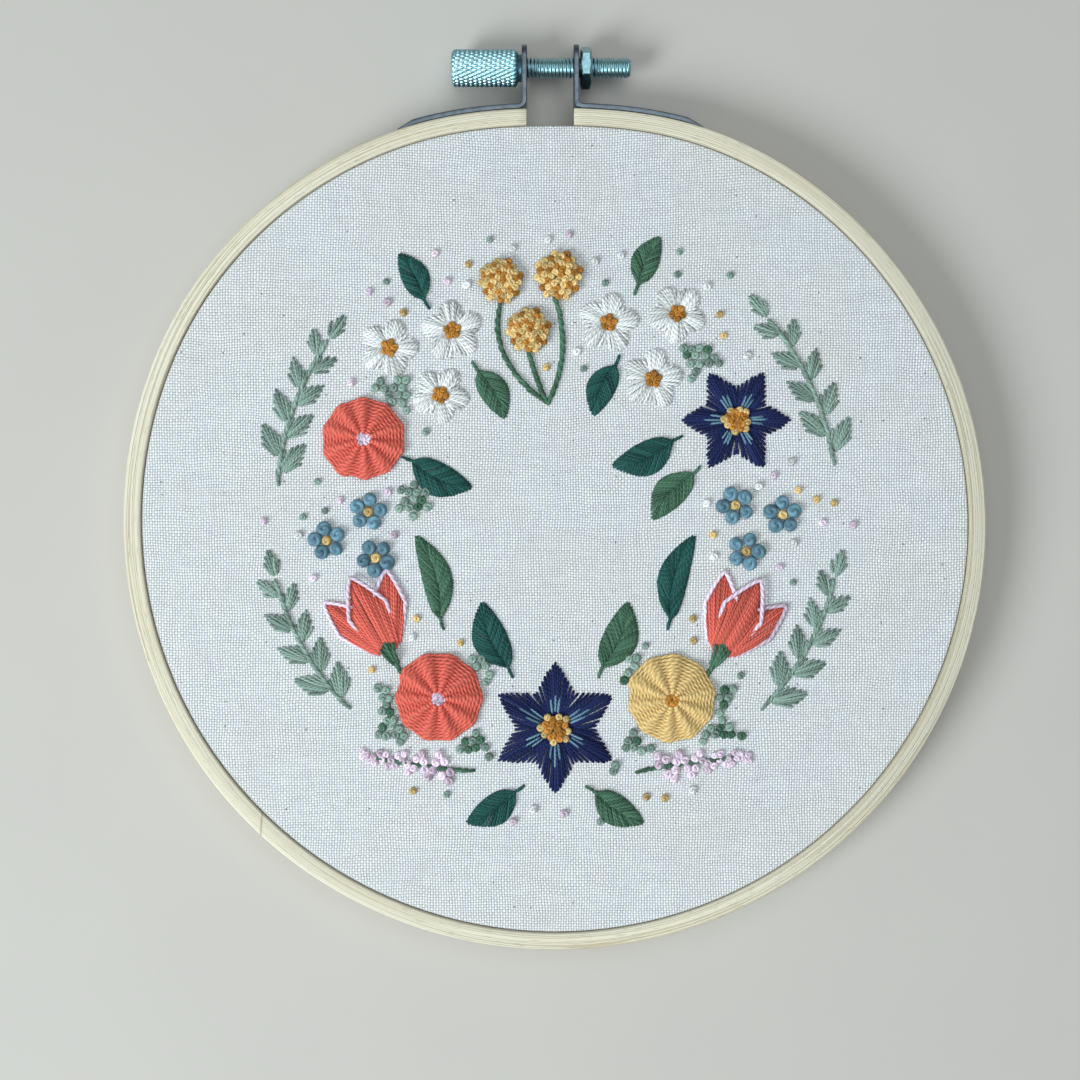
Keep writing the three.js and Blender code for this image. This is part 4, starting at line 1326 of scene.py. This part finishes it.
class HOOP_OT_filling(bpy.types.Operator):
    """Knot the moss patches between the motifs and the loose seeds about them"""

    bl_idname = "hoop.filling"
    bl_label = "Filling Knots"

    def execute(self, context):
        rng = np.random.default_rng(220)
        rounds = covered()
        step = 1.62
        across, along = np.meshgrid(np.arange(-4, 5), np.arange(-4, 5))
        lattice = pairs((across + 0.5 * (along % 2)) * step, along * step * 0.87).reshape(-1, 2)
        patches = []
        for x, y, radius in MOSS:
            near = lattice[np.linalg.norm(lattice, axis=1) < radius] + (x, y)
            near = near + rng.normal(0, 0.16, near.shape)
            patches.append(near[clear_of(near, rounds) > 0.62])
        moss = np.concatenate(patches)
        shell = Shell()
        light = rng.random(len(moss)) < 0.8
        add_knots(shell, *moss[light].T, 1.75, rng, 0)
        add_knots(shell, *moss[~light].T, 1.75, rng, 1)
        set_piece(shell.build("moss_knots", floss(context, "sage", "fern")), "sage_thread")

        tries = rng.uniform(-60, 60, (6000, 2))
        reach = np.linalg.norm(tries, axis=1)
        tries = tries[(reach > 27) & (reach < 57.5)]
        taken = np.concatenate([rounds, np.column_stack([moss, np.full(len(moss), 0.9)])])
        room = clear_of(tries, taken)
        tries = tries[(room > 1.5) & (room < 3.6)]
        seeds = tries[:1]
        for place in tries[1:]:
            if len(seeds) < SEED_COUNT and np.linalg.norm(seeds - place, axis=1).min() > 3.4:
                seeds = np.concatenate([seeds, place[None]])
        shell = Shell()
        kind = np.arange(len(seeds)) % 4
        for number, size in enumerate((1.7, 1.5, 1.6, 1.4)):
            chosen = seeds[kind == number]
            add_knots(shell, chosen[:, 0], chosen[:, 1], size, rng, number)
        set_piece(shell.build("seed_knots", floss(context, "white", "gold", "pink", "sage")), "white_thread")
        return {"FINISHED"}


class HOOP_OT_back(bpy.types.Operator):
    """Lay the threads that cross the cloth's underside behind each motif"""

    bl_idname = "hoop.back"
    bl_label = "Back Threads"

    def execute(self, context):
        rng = np.random.default_rng(260)
        strand = context.scene.hoop_sizes.strand / MM
        under = CLOTH_TOP - context.scene.hoop_sizes.cloth / MM - 0.1
        rounds = {
            "navy": [item[1:4] for item in STARS],
            "coral": [item[2:5] for item in WHEELS if item[1] == "coral"],
            "gold": [item[2:5] for item in WHEELS if item[1] == "gold"] + [item[1:] for item in BALLS],
            "white": [item[1:4] for item in BLOSSOMS],
            "blue": [item[1:4] for item in KNOT_FLOWERS],
        }
        lines = {
            "coral": [(x, y, heading, TULIP_LENGTH, 9.0) for _, x, y, heading in TULIPS],
            "green": [item[1:6] for item in LEAVES],
            "pink": [(x, y, heading, SPIKE_LENGTH, 3.0) for _, x, y, heading in SPIKES],
            "sage": [
                (*around(0, 0, r, np.radians(a)), a + np.sign(b - a) * 104, 27.0, 5.0)
                for _, a, b, r, _ in SPRIGS
            ],
        }
        for name in ("navy", "coral", "gold", "white", "blue", "green", "pink", "sage"):
            paths = []
            for x, y, radius in rounds.get(name, []):
                count = int(radius * 4)
                angle = rng.random(count) * TAU
                away = angle + np.pi + rng.normal(0, 0.5, count)
                reach = radius * rng.uniform(0.55, 0.88, (2, count))
                start = pairs(*around(x, y, reach[0], angle))
                end = pairs(*around(x, y, reach[1], away))
                paths.append(stitches(start, end, 0.1, rng))
            for x, y, heading, length, width in lines.get(name, []):
                at = np.linspace(0.08, 0.9, int(length * 1.6))
                half = 0.42 * width * np.sin(np.pi * at) ** 0.8
                lean = length * (at + rng.normal(0, 0.02, len(at)))
                start = turned(pairs(lean, half), x, y, heading)
                end = turned(pairs(lean + 0.9, -half), x, y, heading)
                paths.append(stitches(start, end, 0.1, rng))
            path = np.concatenate(paths)
            path[..., 2] = under - (path[..., 2] - CLOTH_TOP)
            shell = add_threads(Shell(), path, strand / 2, 0, rng=rng)
            set_piece(shell.build("back_threads_" + name, floss(context, name)), name + "_thread")
        return {"FINISHED"}


class HOOP_OT_stage(bpy.types.Operator):
    """Set the pale floor, the soft light and the camera straight above the hoop"""

    bl_idname = "hoop.stage"
    bl_label = "Stage"

    def execute(self, context):
        scene = context.scene
        sizes = scene.hoop_sizes
        span = np.linspace(-2000.0, 2000.0, 3)
        grid = np.stack(np.meshgrid(span, span, indexing="ij"), -1)
        points = np.concatenate([grid, np.full((3, 3, 1), -0.02)], -1)
        f = Finish("pale_floor", Roughness=0.85)
        cloud = f.noise(f.place(), 30.0, 3.0)
        f.feed("Base Color", f.mix(cloud, (0.52, 0.475, 0.44), (0.55, 0.505, 0.465)))
        floor = add_grid(Shell(), points, span, span).build("pale_floor", [f.material])

        camera = bpy.data.cameras.new("camera")
        camera.sensor_width = 36.0
        camera.lens = 36.0 * sizes.camera_height / sizes.frame_width
        camera.clip_start = 0.01
        eye = bpy.data.objects.new("camera", camera)
        height = (RIM_TOP - RIM_DROP) * MM + sizes.camera_height
        eye.location = (CAMERA_X * MM, (CENTRE_Y + CAMERA_Y) * MM, height)
        scene.collection.objects.link(eye)
        scene.camera = eye

        for name, place, size, power in LAMPS:
            lamp = bpy.data.lights.new(name, "AREA")
            lamp.shape = "DISK"
            lamp.size = size
            lamp.energy = power
            lamp.color = DAYLIGHT
            holder = bpy.data.objects.new(name, lamp)
            holder.location = place
            aim = np.array([0.0, CENTRE_Y * MM, 0.0]) - np.array(place)
            tip = np.arccos(-aim[2] / np.linalg.norm(aim))
            holder.rotation_euler = (tip, 0.0, np.arctan2(aim[1], aim[0]) - np.pi / 2)
            scene.collection.objects.link(holder)

        world = bpy.data.worlds.new("soft_room")
        world.use_nodes = True
        back = world.node_tree.nodes["Background"]
        back.inputs["Color"].default_value = (*DAYLIGHT, 1.0)
        back.inputs["Strength"].default_value = ROOM_LIGHT
        scene.world = world
        scene.view_settings.view_transform = "Standard"
        return {"FINISHED"}


class HOOP_PT_panel(bpy.types.Panel):
    """Lists the steps that dress the hoop"""

    bl_label = "Hoop"
    bl_space_type = "VIEW_3D"
    bl_region_type = "UI"
    bl_category = "Hoop"

    def draw(self, context):
        for step in STEPS:
            self.layout.operator(step.bl_idname)
        for name in HoopSizes.__annotations__:
            self.layout.prop(context.scene.hoop_sizes, name)
        for name in HoopColours.__annotations__:
            self.layout.prop(context.scene.hoop_colours, name)


STEPS = (
    HOOP_OT_stage, HOOP_OT_bamboo, HOOP_OT_cloth, HOOP_OT_clamp, HOOP_OT_screw, HOOP_OT_nut, HOOP_OT_stars,
    HOOP_OT_wheels, HOOP_OT_blossoms, HOOP_OT_knot_flowers, HOOP_OT_balls, HOOP_OT_leaves, HOOP_OT_tulips,
    HOOP_OT_sprigs, HOOP_OT_heather, HOOP_OT_filling, HOOP_OT_back,
)
CLASSES = (HoopSizes, HoopColours, *STEPS, HOOP_PT_panel)


def register():
    for item in CLASSES:
        bpy.utils.register_class(item)
    bpy.types.Scene.hoop_sizes = bpy.props.PointerProperty(type=HoopSizes)
    bpy.types.Scene.hoop_colours = bpy.props.PointerProperty(type=HoopColours)


def unregister():
    del bpy.types.Scene.hoop_colours
    del bpy.types.Scene.hoop_sizes
    for item in reversed(CLASSES):
        bpy.utils.unregister_class(item)


def main():
    register()
    for step in STEPS:
        group, name = step.bl_idname.split(".")
        getattr(getattr(bpy.ops, group), name)()


if __name__ == "__main__":
    main()
